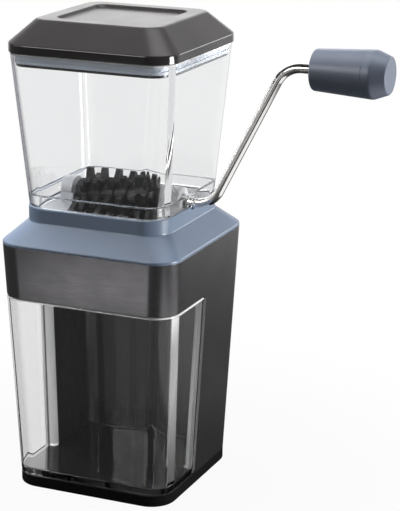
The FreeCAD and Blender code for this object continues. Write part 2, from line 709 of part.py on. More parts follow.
def tooth_edges(x, angle):
    """One tooth with hollow flanks, and the root up to the next tooth."""
    def at(radius, turn):
        return V(x, radius * math.sin(math.radians(turn)), SHAFT_Z + radius * math.cos(math.radians(turn)))

    waist_r = (ROOT_R + TIP_R) / 2
    following = angle + 360 / TOOTH_COUNT - ROOT_HALF_ANGLE
    return [
        Part.Arc(at(ROOT_R, angle - ROOT_HALF_ANGLE), at(waist_r, angle - WAIST_HALF_ANGLE),
                 at(TIP_R, angle - TIP_HALF_ANGLE)).toShape(),
        Part.Arc(at(TIP_R, angle - TIP_HALF_ANGLE), at(TIP_R, angle),
                 at(TIP_R, angle + TIP_HALF_ANGLE)).toShape(),
        Part.Arc(at(TIP_R, angle + TIP_HALF_ANGLE), at(waist_r, angle + WAIST_HALF_ANGLE),
                 at(ROOT_R, angle + ROOT_HALF_ANGLE)).toShape(),
        Part.Arc(at(ROOT_R, angle + ROOT_HALF_ANGLE), at(ROOT_R, (angle + ROOT_HALF_ANGLE + following) / 2),
                 at(ROOT_R, following)).toShape()]


def knob():
    """Tapered grip, open at its far end for the cap."""
    bore = ROD_R + RUNNING_GAP
    pocket = knob_joint_r() - KNOB_WALL
    return turned([(KNOB_X, bore), (KNOB_X, KNOB_NEAR_R, KNOB_EDGE), (KNOB_JOINT, knob_joint_r()),
                   (KNOB_JOINT, pocket), (KNOB_SHOULDER, pocket), (KNOB_SHOULDER, bore)], KNOB_Z)


def knob_joint_r():
    """Radius of the grip where the cap meets it."""
    slope = (KNOB_FAR_R - KNOB_NEAR_R) / (KNOB_LENGTH - KNOB_CHAMFER)
    return KNOB_NEAR_R + slope * (KNOB_JOINT - KNOB_X)


def knob_cap():
    """Far end of the grip, on a spigot that traps the clip."""
    spigot = knob_joint_r() - KNOB_WALL - PRESS_GAP
    hollow = ROD_R + CAP_BORE_GAP
    spigot_x = knob_clip_x() + CLIP_THICK + END_PLAY
    hollow_end = knob_rod_end() + CAP_BORE_GAP
    shoulder = KNOB_END - KNOB_CHAMFER
    return turned([(spigot_x, hollow), (spigot_x, spigot), (KNOB_JOINT, spigot),
                   (KNOB_JOINT, knob_joint_r()), (shoulder, KNOB_FAR_R, KNOB_SHOULDER_EDGE),
                   (KNOB_END, KNOB_END_R, KNOB_END_EDGE), (KNOB_END, 0),
                   (hollow_end, 0), (hollow_end, hollow)], KNOB_Z)


def hopper_half(z):
    return HOPPER_FOOT_HALF + (HOPPER_RIM_HALF - HOPPER_FOOT_HALF) * (z - NECK_TOP) / HOPPER_RISE


def hopper_corner(z):
    return HOPPER_FOOT_CORNER + (HOPPER_RIM_CORNER - HOPPER_FOOT_CORNER) * (z - NECK_TOP) / HOPPER_RISE


def hopper_form(inset, z0, z1):
    return loft(*(square(hopper_half(z) - inset, hopper_corner(z) - inset, z) for z in (z0, z1)))


def hopper():
    corner = NECK_CORNER - COLLAR_WALL - SPIGOT_GAP
    spigot = prism(square(SPIGOT_HALF, corner, HOPPER_FOOT - SPIGOT_DEPTH), SPIGOT_DEPTH + OVER)
    vessel = joined(hopper_form(0, HOPPER_FOOT, HOPPER_RIM), spigot, arch(ROD_R + ARCH_GAP + ARCH_EYEBROW))
    band_top = NECK_TOP + BAND_RISE
    inside = prism(square(SPIGOT_INSIDE, corner - SPIGOT_WALL, HOPPER_FOOT - SPIGOT_DEPTH - OVER),
                   band_top + SPIGOT_DEPTH + OVER - HOPPER_FOOT)
    vessel = vessel.cut(joined(inside, hopper_form(HOPPER_WALL, band_top, HOPPER_RIM + OVER)))
    slot = ROD_R + ARCH_GAP
    vessel = vessel.cut(bar(slot, 0, REACH))
    return vessel.cut(box(0, REACH, -slot, slot, 0, SHAFT_Z))


def arch(radius):
    """Raised rim round the slot over the crank rod."""
    face = hopper_half(SHAFT_Z) - HOPPER_WALL
    tip = hopper_half(SHAFT_Z + radius) + ARCH_PROUD
    rim = bar(radius, face, tip)
    return rim.fuse(box(face, tip, -radius, radius, HOPPER_FOOT, SHAFT_Z)).common(
        box(face, tip, -radius, radius, HOPPER_FOOT, SHAFT_Z + radius + OVER))


def lid_shell():
    outside = joined(
        prism(square(LID_HALF, LID_CORNER, LID_FOOT), LID_BAND),
        loft(square(LID_HALF, LID_CORNER, LID_CREASE), square(LID_TOP_HALF, LID_TOP_CORNER, LID_TOP)))
    outside = outside.makeFillet(LID_EDGE, edges_at(outside, LID_CREASE) + edges_at(outside, LID_TOP))
    recess_z = LID_TOP - RECESS_DEPTH
    shell = outside.cut(prism(square(RECESS_HALF, RECESS_CORNER, recess_z), RECESS_DEPTH + OVER))
    ceiling = recess_z - LID_WALL
    slope = (LID_HALF - LID_TOP_HALF) / LID_SLOPE
    inset = LID_WALL * math.hypot(1, slope)
    bend = LID_CREASE - (inset - LID_WALL) / slope
    low = LID_HALF - LID_WALL
    high = LID_HALF - inset - slope * (ceiling - LID_CREASE)
    corner = LID_CORNER - LID_WALL
    inside = joined(
        prism(square(low, corner, LID_FOOT - OVER), bend - LID_FOOT + OVER),
        loft(square(low, corner, bend), square(high, LID_TOP_CORNER, ceiling)))
    return shell.cut(inside)


def plug_form(inset, z0, z1):
    return hopper_form(HOPPER_WALL + PLUG_GAP + inset, z0, z1)


def seal_z():
    """Lower and upper edge of the seal."""
    low = HOPPER_RIM - PLUG_DEPTH + PLUG_LIP
    return low, low + SEAL_HEIGHT


def lid_plug():
    """Tray that closes the lid from below, grooved for the seal, with a flange inside the shell."""
    low = HOPPER_RIM - PLUG_DEPTH
    top = LID_FOOT + PLUG_FLANGE
    flange = prism(square(LID_HALF - LID_WALL - PRESS_GAP, LID_CORNER - LID_WALL - PRESS_GAP, LID_FOOT),
                   PLUG_FLANGE)
    tray = joined(plug_form(0, low, LID_FOOT), flange)
    seal_low, seal_high = seal_z()
    groove_ring = plug_form(-PLUG_WALL, seal_low, seal_high)
    tray = tray.cut(groove_ring.cut(plug_form(SEAL_DEPTH, seal_low - OVER, seal_high + OVER)))
    return tray.cut(plug_form(SEAL_DEPTH + PLUG_WALL, low + PLUG_WALL, top + OVER))


def lid_seal():
    """Soft ring with two lips."""
    low, high = seal_z()
    lip = PLUG_GAP - SEAL_GAP
    ring = plug_form(-lip, low, high)
    middle = (low + high) / 2
    waist = plug_form(-PLUG_WALL, middle - SEAL_GROOVE / 2, middle + SEAL_GROOVE / 2)
    ring = ring.cut(waist.cut(plug_form(SEAL_GROOVE_DEPTH - lip, low, high)))
    return ring.cut(plug_form(SEAL_DEPTH - PRESS_GAP, low - OVER, high + OVER))


def parts():
    """Every node's name and its solids."""
    cap_right, cap_left = mirrored(bearing_cap())
    bush_right, bush_left = mirrored(shaft_bush())
    made = {
        "non_slip_pad": non_slip_pad(),
        "base_plate": base_plate(),
        "base_screws": base_screws(),
        "housing": housing(),
        "container": container(),
        "collar": collar(),
        "collar_screws": collar_screws(),
        "mill_frame": mill_frame(),
        "mill_screws": mill_screws(),
        "coarse_comb": comb(-1, 2),
        "fine_comb": comb(1, 1),
        "comb_screws": comb_screws(),
        "bearing_cap_right": cap_right,
        "bearing_cap_left": cap_left,
        "shaft_bush_right": bush_right,
        "shaft_bush_left": bush_left,
        "crank_rod": crank_rod(),
        "shaft_clip": clip(-BUSH_END - END_PLAY - CLIP_THICK, SHAFT_Z),
        "drive_pin": pin(PIN_R - PRESS_GAP),
        "rotor_sleeve": rotor_sleeve(),
        "rotor_end_ring": rotor_end_ring(),
        "knob": knob(),
        "knob_cap": knob_cap(),
        "knob_clip": clip(knob_clip_x(), KNOB_Z),
        "hopper": hopper(),
        "lid_shell": lid_shell(),
        "lid_plug": lid_plug(),
        "lid_seal": lid_seal(),
    }
    for index in range(RING_COUNT):
        made[f"rotor_ring_{index + 1}"] = rotor_ring(index)
    return made


def main():
    os.makedirs("parts", exist_ok=True)
    for name, shape in parts().items():
        solids = shape if isinstance(shape, list) else shape.Solids
        whole = solids[0] if len(solids) == 1 else Part.makeCompound(solids)
        whole.exportStep(f"parts/{name}.step")


main()
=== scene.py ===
"""Nut grinder with a crank, a clear hopper and a clear container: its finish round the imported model.

All sizes of shapes are in millimetres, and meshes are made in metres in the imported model's frame:
+Z is up, -Y is the front, and +X is the side of the crank.
"""

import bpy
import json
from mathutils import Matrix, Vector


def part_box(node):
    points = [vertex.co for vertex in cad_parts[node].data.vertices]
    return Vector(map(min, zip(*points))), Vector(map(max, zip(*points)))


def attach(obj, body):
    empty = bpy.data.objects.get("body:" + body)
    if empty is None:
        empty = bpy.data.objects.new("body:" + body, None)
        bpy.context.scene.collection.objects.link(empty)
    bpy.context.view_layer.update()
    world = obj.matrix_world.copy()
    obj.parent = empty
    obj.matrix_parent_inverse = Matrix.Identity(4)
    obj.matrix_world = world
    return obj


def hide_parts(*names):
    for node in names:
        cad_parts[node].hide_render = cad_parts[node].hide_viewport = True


bl_info = {
    "name": "Nut grinder",
    "version": (1, 0, 0),
    "blender": (4, 5, 0),
    "location": "3D View > Sidebar > Nut grinder",
    "description": "Finished pieces, materials and studio of a hand cranked nut grinder",
    "category": "Object",
}

import json
import math

import bmesh
import bpy
from mathutils import Matrix, Vector

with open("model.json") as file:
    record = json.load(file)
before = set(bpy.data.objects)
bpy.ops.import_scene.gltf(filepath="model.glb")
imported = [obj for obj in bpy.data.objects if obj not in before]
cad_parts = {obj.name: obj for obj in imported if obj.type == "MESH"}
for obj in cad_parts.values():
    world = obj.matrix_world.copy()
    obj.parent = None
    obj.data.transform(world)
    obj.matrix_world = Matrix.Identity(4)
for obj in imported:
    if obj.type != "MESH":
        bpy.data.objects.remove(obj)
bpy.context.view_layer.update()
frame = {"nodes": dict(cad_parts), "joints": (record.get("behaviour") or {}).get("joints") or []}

MM = 0.001
CORNER_STEPS, CONTAINER_STEPS = 14, 8       # faces round each upright corner, and round the container's
EDGE_STEPS, BEVEL_STEPS = 4, 2              # faces round each drawn edge, and round each softened one
ROUND_STEPS = 64                            # faces round each turned piece
ROD_STEPS, BEND_STEPS = 40, 20              # faces round the crank rod, and along each of its bends
FOLD = math.radians(42)     # edges that fold more than this are rounded or drawn sharp


def span(name, axis):
    """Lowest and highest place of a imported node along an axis, in millimetres."""
    return [round(corner["XYZ".index(axis)] / MM, 2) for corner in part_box(name)]


def half_width(name):
    """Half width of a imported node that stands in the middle, in millimetres."""
    return span(name, "X")[1]


def axis_height(name):
    """Height of the line that a hinge of the frame turns about, in millimetres."""
    return next(round(joint["pos_m"][2] / MM, 2) for joint in frame["joints"] if joint["name"] == name)


# TOP, FOOT and RIM are heights, HALF and INSIDE are half widths, CENTRE places a corner's arc, and
# FLAT is how far inside its edge a flat face starts

# Body
PAD_PROUD, BASE_TOP = span("base_plate", "Z")
PAD_TOP, HOUSING_TOP = span("non_slip_pad", "Z")[1], span("housing", "Z")[1]
BASE_HALF, HOUSING_TOP_HALF = half_width("base_plate"), half_width("housing")
PAD_HALF, PAD_CENTRE = half_width("non_slip_pad") + 0.2, 21.0
BODY_R = 12.3
BODY_FOOT_CENTRE, BODY_TOP_CENTRE = BASE_HALF - BODY_R, HOUSING_TOP_HALF - BODY_R

# Collar
NECK_TOP = span("collar", "Z")[1]
SHOULDER, NECK_FOOT, COLLAR_WALL = HOUSING_TOP + 1.3, NECK_TOP - 7.1, 2.4
NECK_HALF, NECK_CENTRE = 36.8, 24.0
NECK_INSIDE = NECK_HALF - COLLAR_WALL
LEDGE_HALF, LEDGE_CENTRE, LEDGE_FOOT, LEDGE_FAR_HALF = 29.0, 17.0, NECK_FOOT - COLLAR_WALL, 35.7
SKIRT_TOP, SKIRT_FOOT = HOUSING_TOP + 2.7, HOUSING_TOP - 6.0
SKIRT_HALF, SKIRT_INSIDE, SKIRT_CENTRE = 43.08, 41.08, 33.4
NOTCH_R = 3.35
CUT_FROM, CUT_TO, CUT_FOOT = 20, 60, 100            # reach of the cutters through the right hand walls

# Container
CONTAINER_FOOT, CONTAINER_RIM = span("container", "Z")
CONTAINER_FLOOR, CONTAINER_WALL = CONTAINER_FOOT + 2.6, 2.2
CONTAINER_FILLET, CONTAINER_FLAT = 1.2, 1.4
STEP_Y, STEP_LEAN, STEP_RISE = -5.6, 3.5, 91.3      # where the wide part ends, and how far that leans back
STEP_ROUND = 2.0
NARROW_IN, REAR_IN = 4.9, 8.9       # from the body's skin to the narrow part's side and rear
STEP_OUTER_R, STEP_INNER_R, REAR_R = 2.6, 2.2, 7.4
FRONT_TIGHTER = 2.6                 # how fast the front corners' radius shrinks through the wall
SMALLEST_R = 0.4

# Hopper
SPIGOT_FOOT, HOPPER_RIM = span("hopper", "Z")
HOPPER_FOOT, BAND_TOP, HOPPER_WALL = NECK_TOP + 0.2, NECK_TOP + 5.5, 2.5
HOPPER_FOOT_HALF, HOPPER_RIM_HALF = 36.3, half_width("hopper")
HOPPER_FOOT_CENTRE, HOPPER_RIM_CENTRE = 24.2, 31.2
SPIGOT_HALF, SPIGOT_INSIDE = NECK_INSIDE - 0.3, NECK_INSIDE - 2.3
ARCH_R, ARCH_DEPTH, ARCH_PROUD, SLOT_R = 4.75, 2.0, 1.2, 3.15

# Lid
LID_FOOT, LID_TOP = span("lid_shell", "Z")
LID_CREASE, LID_WALL = LID_FOOT + 4.0, 2.2
LID_HALF, LID_TOP_HALF, LID_CENTRE, LID_TOP_CENTRE = half_width("lid_shell"), 31.9, 30.0, 23.9
LID_INSIDE_CREASE, LID_INSIDE_TOP, LID_INSIDE_TOP_HALF = LID_CREASE - 0.9, LID_TOP - 4.0, 32.8
RECESS_HALF, RECESS_CENTRE, RECESS_DEPTH, RECESS_SLOPE, RECESS_FLAT = 24.2, 19.0, 1.5, 1.2, 3.0

# Crank, with its places along X
ROD_R, BEND_R = 2.25, 13.0
SHAFT_Z, KNOB_Z = axis_height("crank_turn"), axis_height("knob_spin")
ROD_START, ROD_END = span("crank_rod", "X")
ROD_LOW_BEND, ROD_HIGH_BEND = 46.6, 82.0
KNOB_START, KNOB_SEAM = span("knob", "X")
KNOB_CONE, KNOB_END = KNOB_SEAM + 4.0, span("knob_cap", "X")[1]
KNOB_START_R, KNOB_SEAM_R, KNOB_CONE_R, KNOB_END_R = 9.6, 11.06, 11.3, 8.6
KNOB_HOLLOW, CAP_START, SEAM_GAP = 112.0, 116.0, 0.02
KNOB_CORE_R, KNOB_BORE_R, KNOB_FLAT = 8.0, 2.3, 1.6

# Finishes
GRAIN_RELIEF, BRUSH_RELIEF = 0.006, 0.0004
SIDES, TOPS = (0.05, 0.15), (0.60, 0.68)            # how far faces look up; worn edges lie between these
WORN = 0.35                         # share of the roughness that worn edges keep
GLOSS, GLOSS_EDGE = 0.3, 0.2        # the same for a glossy band, and the height over which it ends
INSIDE_SHADE_DEPTH = (0.9, 1.5)                # depth in the wall where the lacquer gives way to the painted shade inside
# painted shade: near black colour and matt roughness for the housing's inside
HOUSING_INSIDE_SHADE, HOUSING_INSIDE_ROUGH = (0.012, 0.012, 0.013), 0.6
FROSTED_RIM = (0.9, 0.6)            # how far below the rim the clear plastic turns matt
STEP_MATT = (9, 12)                 # its steps are matt this near to the middle, in front or behind
EDGE_SHADE_SIDES = (-15, 15)                  # from left to right, the painted shade on its corners fades from greyer to none
LATE_RAY = 3.5                      # rays that have met more faces than this pass it

# Studio, in metres from the grinder's middle
FLOOR_RADIUS, FLOOR_DROP, FLOOR_GREY = 6.0, 0.0001, 0.15
SHADE_ENDS = (0.05, 0.25)           # the floor shows white beyond this
UNDER_GRINDER = (0.06, 0.16)        # reflections see a dark floor this near
BACKDROP = (0.18, 0.66)             # behind the grinder, reflections see a bright floor
FAR_FLOOR = (2.0, 3.0)              # as they do this far off
CLEAR_BESIDE = (0.05, 0.30)         # beside or behind the grinder, clear walls mirror a bright floor inside
CLEAR_RIGHT = (-0.10, 0.05)         # but a dimmer one on its right
CLEAR_RIGHT_FAR = (0.30, 0.42)      # unless it is this far off
CARD_SOFT = 0.015                   # half the width of a card's soft edge
# Bright rectangles of the floor that reflections see: middle, size and strength
FLOOR_CARDS = (((-0.105, -0.29), (0.126, 0.05), 3.0),
               ((0.20, -0.04), (0.12, 0.32), 1.0),
               ((-0.01, -0.53), (0.12, 0.18), 0.8),
               ((-0.37, -0.82), (0.24, 0.34), 0.9))
LEFT_GLOW = (-0.86, -0.51, 0.0)     # way to the bright spot that reflections see at the front left
GLOW_EDGE, GLOW = (0.93, 0.97), 1.5
# The room in reflections, by a ray's way
ROOM_LOW = (0.1, 0.8)               # it darkens upwards
ROOM_BEHIND = (0.0, 0.6)            # it is bright behind
ROOM_BESIDE = (-0.5, 0.1)           # and for what clear walls mirror inside, beside too


def colour(name, description, default):
    """Property for a finish's colour."""
    return bpy.props.FloatVectorProperty(name=name, description=description, default=default,
                                         subtype="COLOR", size=3, min=0, max=1)


def length(name, description, default):
    """Property for a length, in metres."""
    return bpy.props.FloatProperty(name=name, description=description, default=default, min=0,
                                   subtype="DISTANCE", unit="LENGTH", precision=5)


def power(name, description, default):
    """Property for a lamp's power."""
    return bpy.props.FloatProperty(name=name, description=description, default=default, min=0, unit="POWER")


def level(name, description, default):
    """Property for a brightness."""
    return bpy.props.FloatProperty(name=name, description=description, default=default, min=0)


class GrinderColours(bpy.types.PropertyGroup):
    """Colours of the finishes"""

    housing: colour("Housing", "Anthracite of the brushed housing", (0.150, 0.146, 0.152))
    base: colour("Base", "Black of the base plate", (0.008, 0.008, 0.008))
    collar: colour("Collar", "Blue grey of the collar", (0.170, 0.221, 0.309))
    knob: colour("Knob", "Blue grey of the knob", (0.122, 0.143, 0.190))
    lid: colour("Lid", "Anthracite of the lid", (0.028, 0.025, 0.0255))
    hopper: colour("Hopper", "Tint of the clear hopper", (1.0, 1.0, 1.0))
    container: colour("Container", "Tint of the clear container", (1.0, 1.0, 1.0))
    seal: colour("Seal", "Blue grey silicone of the lid's seal", (0.48, 0.53, 0.60))
    funnel: colour("Funnel", "Light grey of the funnel floor", (0.42, 0.43, 0.45))
    mill: colour("Mill", "Black of the rotor and the combs", (0.012, 0.012, 0.013))
    steel: colour("Steel", "Polished steel of the crank rod", (0.80, 0.785, 0.77))
    rubber: colour("Rubber", "Dark rubber of the pad underneath", (0.018, 0.018, 0.019))


class GrinderSizes(bpy.types.PropertyGroup):
    """Roundings and textures"""

    edge: length("Edge", "Rounding of the moulded edges", 0.0005)
    fine_edge: length("Fine edge", "Rounding of the small inner edges", 0.00025)
    grain: length("Grain", "Size of the moulded plastic's fine grain", 0.0004)
    brush: length("Brush", "Width of the brushed lines on the housing", 0.00025)


class GrinderStudio(bpy.types.PropertyGroup):
    """Powers of the lamps and brightness of the room"""

    key: power("Overhead light", "Power of the overhead softbox", 18.0)
    gloss: power("Overhead gloss", "Power that gloss shows from overhead", 3.2)
    side: power("Side light", "Power of the softbox on the right", 8.1)
    back: power("Back light", "Power of the softbox behind", 2.0)
    front: power("Front light", "Power of the small softbox in front", 0.12)
    edges: power("Edge light", "Power of the light that rounded edges show", 1.7)
    rim: power("Rim light", "Power that the right hand edges show from behind", 1.6)
    card: level("Cards", "Brightness of the cards that lie on the floor", 1.0)
    room: level("Room", "Strength of the room's even light", 0.06)
    ahead: level("Ahead", "Brightness of the room's front in reflections", 0.08)


# Outlines and meshes

def corner_arc(before, here, after, radius, steps):
    """Points of the arc that rounds one corner of an outline, or the corner itself."""
    if radius <= 0:
        return [here]
    back, ahead = (before - here).normalized(), (after - here).normalized()
    half = back.angle(ahead) / 2
    centre = here + (back + ahead).normalized() * (radius / math.sin(half))
    start = here + back * (radius / math.tan(half)) - centre
    end = here + ahead * (radius / math.tan(half)) - centre
    sweep = math.atan2(start.cross(end), start.dot(end))
    return [centre + Matrix.Rotation(sweep * step / steps, 2) @ start for step in range(steps + 1)]


def outline(corners, steps=CORNER_STEPS):
    """Points round a closed outline of (x, y, radius) corners."""
    places = [Vector(corner[:2]) for corner in corners]
    points = []
    for index, (_, _, radius) in enumerate(corners):
        after = places[(index + 1) % len(places)]
        points += corner_arc(places[index - 1], places[index], after, radius, steps)
    return points


def square(half, centre):
    """Corners of a rounded square whose corner arcs have their centres at (centre, centre)."""
    radius = half - centre
    return [(half, -half, radius), (half, half, radius), (-half, half, radius), (-half, -half, radius)]


def eased(profile, closed):
    """Rounds the corners of a profile of (offset, z, centre, rounding) points."""
    places = [Vector(point[:2]) for point in profile]
    points = []
    for index, (_, _, centre, rounding) in enumerate(profile):
        inner = closed or 0 < index < len(profile) - 1
        after = places[(index + 1) % len(places)]
        arc = corner_arc(places[index - 1], places[index], after, rounding if inner else 0, EDGE_STEPS)
        points += [(place.x, place.y, centre) for place in arc]
    return points


def mesh_piece(name, bm):
    """Object made from a bmesh, with its faces turned outwards."""
    bmesh.ops.recalc_face_normals(bm, faces=bm.faces)
    mesh = bpy.data.meshes.new(name)
    bm.to_mesh(mesh)
    bm.free()
    piece = bpy.data.objects.new(name, mesh)
    bpy.context.scene.collection.objects.link(piece)
    return piece


def lofted(name, rings, closed=False):
    """Piece with faces between rings of points in millimetres, capped unless it closes on itself."""
    bm = bmesh.new()
    made = [[bm.verts.new(Vector(point) * MM) for point in ring] for ring in rings]
    pairs = list(zip(made, made[1:]))
    if closed:
        pairs.append((made[-1], made[0]))
    else:
        bm.faces.new(made[0])
        bm.faces.new(made[-1])
    for low, high in pairs:
        for index in range(len(low)):
            bm.faces.new((low[index - 1], low[index], high[index], high[index - 1]))
    return mesh_piece(name, bm)


def shell(name, profile, closed=True):
    """Piece whose horizontal sections are rounded squares, from a profile of its wall."""
    rings = [[(x, y, z) for x, y in outline(square(half, centre))]
             for half, z, centre in eased(profile, closed)]
    return lofted(name, rings, closed)


def circle(steps):
    """Points round a circle of radius 1."""
    angles = [2 * math.pi * step / steps for step in range(steps)]
    return [(math.cos(angle), math.sin(angle)) for angle in angles]


def turned(name, profile, z, closed=False):
    """Piece turned about the line along X at height z, from (x, radius, rounding) points."""
    points = eased([(x, radius, 0, rounding) for x, radius, rounding in profile], closed)
    rings = [[(x, radius * y, z + radius * up) for y, up in circle(ROUND_STEPS)] for x, radius, _ in points]
    return lofted(name, rings, closed)


def block(name, x0, x1, y0, y1, z0, z1):
    """Plain cutter, in millimetres."""
    return lofted(name, [[(x0, y0, z), (x1, y0, z), (x1, y1, z), (x0, y1, z)] for z in (z0, z1)])


def settle(piece):
    """Turns a piece's modifiers into its mesh."""
    bpy.context.view_layer.update()
    settled = piece.evaluated_get(bpy.context.evaluated_depsgraph_get())
    mesh = bpy.data.meshes.new_from_object(settled)
    piece.modifiers.clear()
    piece.data = mesh
    return piece


def combine(piece, tool, operation="DIFFERENCE"):
    """Cuts a tool out of a piece, or joins it on, and removes the tool."""
    modifier = piece.modifiers.new("combine", "BOOLEAN")
    modifier.operation = operation
    modifier.object = tool
    modifier.solver = "EXACT"
    settle(piece)
    bpy.data.objects.remove(tool)


def soften(piece, width):
    """Rounds the edges that still fold sharply."""
    modifier = piece.modifiers.new("soften", "BEVEL")
    modifier.width = width
    modifier.segments = BEVEL_STEPS
    modifier.limit_method = "ANGLE"
    modifier.angle_limit = FOLD
    return settle(piece)


def smooth(piece):
    """Smooth shading that keeps large faces flat."""
    piece.data.shade_smooth()
    piece.data.set_sharp_from_angle(angle=FOLD)
    modifier = piece.modifiers.new("flat faces", "WEIGHTED_NORMAL")
    modifier.keep_sharp = True
    settle(piece)


def softened(name, width):
    """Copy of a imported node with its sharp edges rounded."""
    bm = bmesh.new()
    bm.from_mesh(frame["nodes"][name].data)
    bmesh.ops.remove_doubles(bm, verts=bm.verts, dist=0.002 * MM)
    bmesh.ops.dissolve_limit(bm, angle_limit=math.radians(0.5), verts=bm.verts, edges=bm.edges)
    return soften(mesh_piece(name + "_finished", bm), width)


def paint(piece, material):
    """Makes a material a piece's only one."""
    piece.data.materials.clear()
    piece.data.materials.append(material)


def placed(piece, material, body, slot, *names):
    """Gives a piece its material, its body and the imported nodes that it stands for."""
    smooth(piece)
    paint(piece, material)
    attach(piece, body)
    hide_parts(*names)


def coat(material, *names):
    """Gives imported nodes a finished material."""
    for name in names:
        paint(frame["nodes"][name], material)


# Materials

def node(tree, kind, links=(), **values):
    """Adds a node with its settings and input values by name, and (input, output) links into it."""
    made = tree.nodes.new(kind)
    for name, value in values.items():
        if hasattr(made, name):
            setattr(made, name, value)
        else:
            made.inputs[name.replace("_", " ")].default_value = value
    for target, source in links:
        tree.links.new(source, made.inputs[target])
    return made


def maths(tree, operation, first, second):
    """Result of an operation on an output and an output or a number."""
    made = node(tree, "ShaderNodeMath", operation=operation, links=[(0, first)])
    if isinstance(second, bpy.types.NodeSocket):
        tree.links.new(second, made.inputs[1])
    else:
        made.inputs[1].default_value = second
    return made.outputs["Value"]


def size_of(tree, value):
    """A value without its sign."""
    return maths(tree, "ABSOLUTE", value, 0)


def parts(tree, vector):
    """The X, Y and Z of a vector."""
    return node(tree, "ShaderNodeSeparateXYZ", links=[("Vector", vector)]).outputs


def metres(*places):
    """Places in metres, from millimetres."""
    return [place * MM for place in places]


def ramp(tree, value, start, end, low, high, kind="SMOOTHSTEP"):
    """Value from low at the start of a range to high at its end."""
    return node(tree, "ShaderNodeMapRange", interpolation_type=kind, From_Min=start, From_Max=end,
                To_Min=low, To_Max=high, links=[("Value", value)]).outputs["Result"]


class Finish:
    """A material with one Principled shader, and the textures that vary it."""

    def __init__(self, name, tint, roughness, **sockets):
        self.material = bpy.data.materials.new(name)
        self.material.use_nodes = True
        self.material.diffuse_color = (*tint, 1)
        self.tree = self.material.node_tree
        self.shader = self.tree.nodes["Principled BSDF"]
        self.place = node(self.tree, "ShaderNodeTexCoord").outputs["Object"]
        self.tint = tint
        for name, value in dict(sockets, Base_Color=(*tint, 1), Roughness=roughness).items():
            self.shader.inputs[name.replace("_", " ")].default_value = value

    def noise(self, sizes, detail=2.0):
        """Noise whose cells are about the given lengths along X, Y and Z, in metres."""
        spread = node(self.tree, "ShaderNodeMapping", Scale=[1 / size for size in sizes],
                      links=[("Vector", self.place)])
        return node(self.tree, "ShaderNodeTexNoise", Scale=1, Detail=detail,
                    links=[("Vector", spread.outputs["Vector"])]).outputs["Fac"]

    def ranged(self, value, low, high):
        """Maps the middle of a noise onto a range."""
        return ramp(self.tree, value, 0.3, 0.7, low, high, "LINEAR")

    def wire(self, socket, value):
        """Gives a socket of the shader its value."""
        self.tree.links.new(value, self.shader.inputs[socket])

    def vary_roughness(self, value, low, high):
        """Varies the roughness over a range."""
        self.wire("Roughness", self.ranged(value, low, high))

    def vary_colour(self, value, share):
        """Lightens and darkens the colour by a share of itself."""
        factor = self.ranged(value, 0, 1)
        mix = node(self.tree, "ShaderNodeMix", data_type="RGBA", links=[("Factor", factor)])
        mix.inputs["A"].default_value = (*(c * (1 - share) for c in self.tint), 1)
        mix.inputs["B"].default_value = (*(min(c * (1 + share), 1) for c in self.tint), 1)
        self.wire("Base Color", mix.outputs["Result"])

    def bump(self, value, height, share=None):
        """Adds relief of the given height in metres, or of the share of it that an output gives."""
        relief = node(self.tree, "ShaderNodeBump", Strength=1.0, Distance=height, links=[("Height", value)])
        if share:
            self.tree.links.new(share, relief.inputs["Strength"])
        self.wire("Normal", relief.outputs["Normal"])


def moulded(name, tint, grain, roughness, gloss=None, worn=False, **sockets):
    """Satin moulded plastic with fine spark-eroded grain, glossy below a height if gloss gives one.

    If it is worn, its level rounded edges are smoother.
    """
    finish = Finish(name, tint, roughness, **sockets)
    tree = finish.tree
    slow = finish.noise((0.03, 0.03, 0.045))
    finish.vary_colour(slow, 0.05)
    matt = None
    satin = finish.ranged(slow, roughness - 0.03, roughness + 0.03)
    if gloss:
        matt = ramp(tree, parts(tree, finish.place)["Z"], *metres(gloss - GLOSS_EDGE, gloss), GLOSS, 1.0)
        satin = maths(tree, "MULTIPLY", satin, matt)
    if worn:
        rise = parts(tree, node(tree, "ShaderNodeTexCoord").outputs["Normal"])["Z"]
        flat = maths(tree, "MAXIMUM", ramp(tree, rise, *SIDES, 1.0, 0.0), ramp(tree, rise, *TOPS, 0.0, 1.0))
        satin = maths(tree, "MULTIPLY", satin, ramp(tree, flat, 0.0, 1.0, WORN, 1.0, "LINEAR"))
    finish.wire("Roughness", satin)
    finish.bump(finish.noise((grain,) * 3, detail=3.0), GRAIN_RELIEF * MM, matt)
    return finish.material


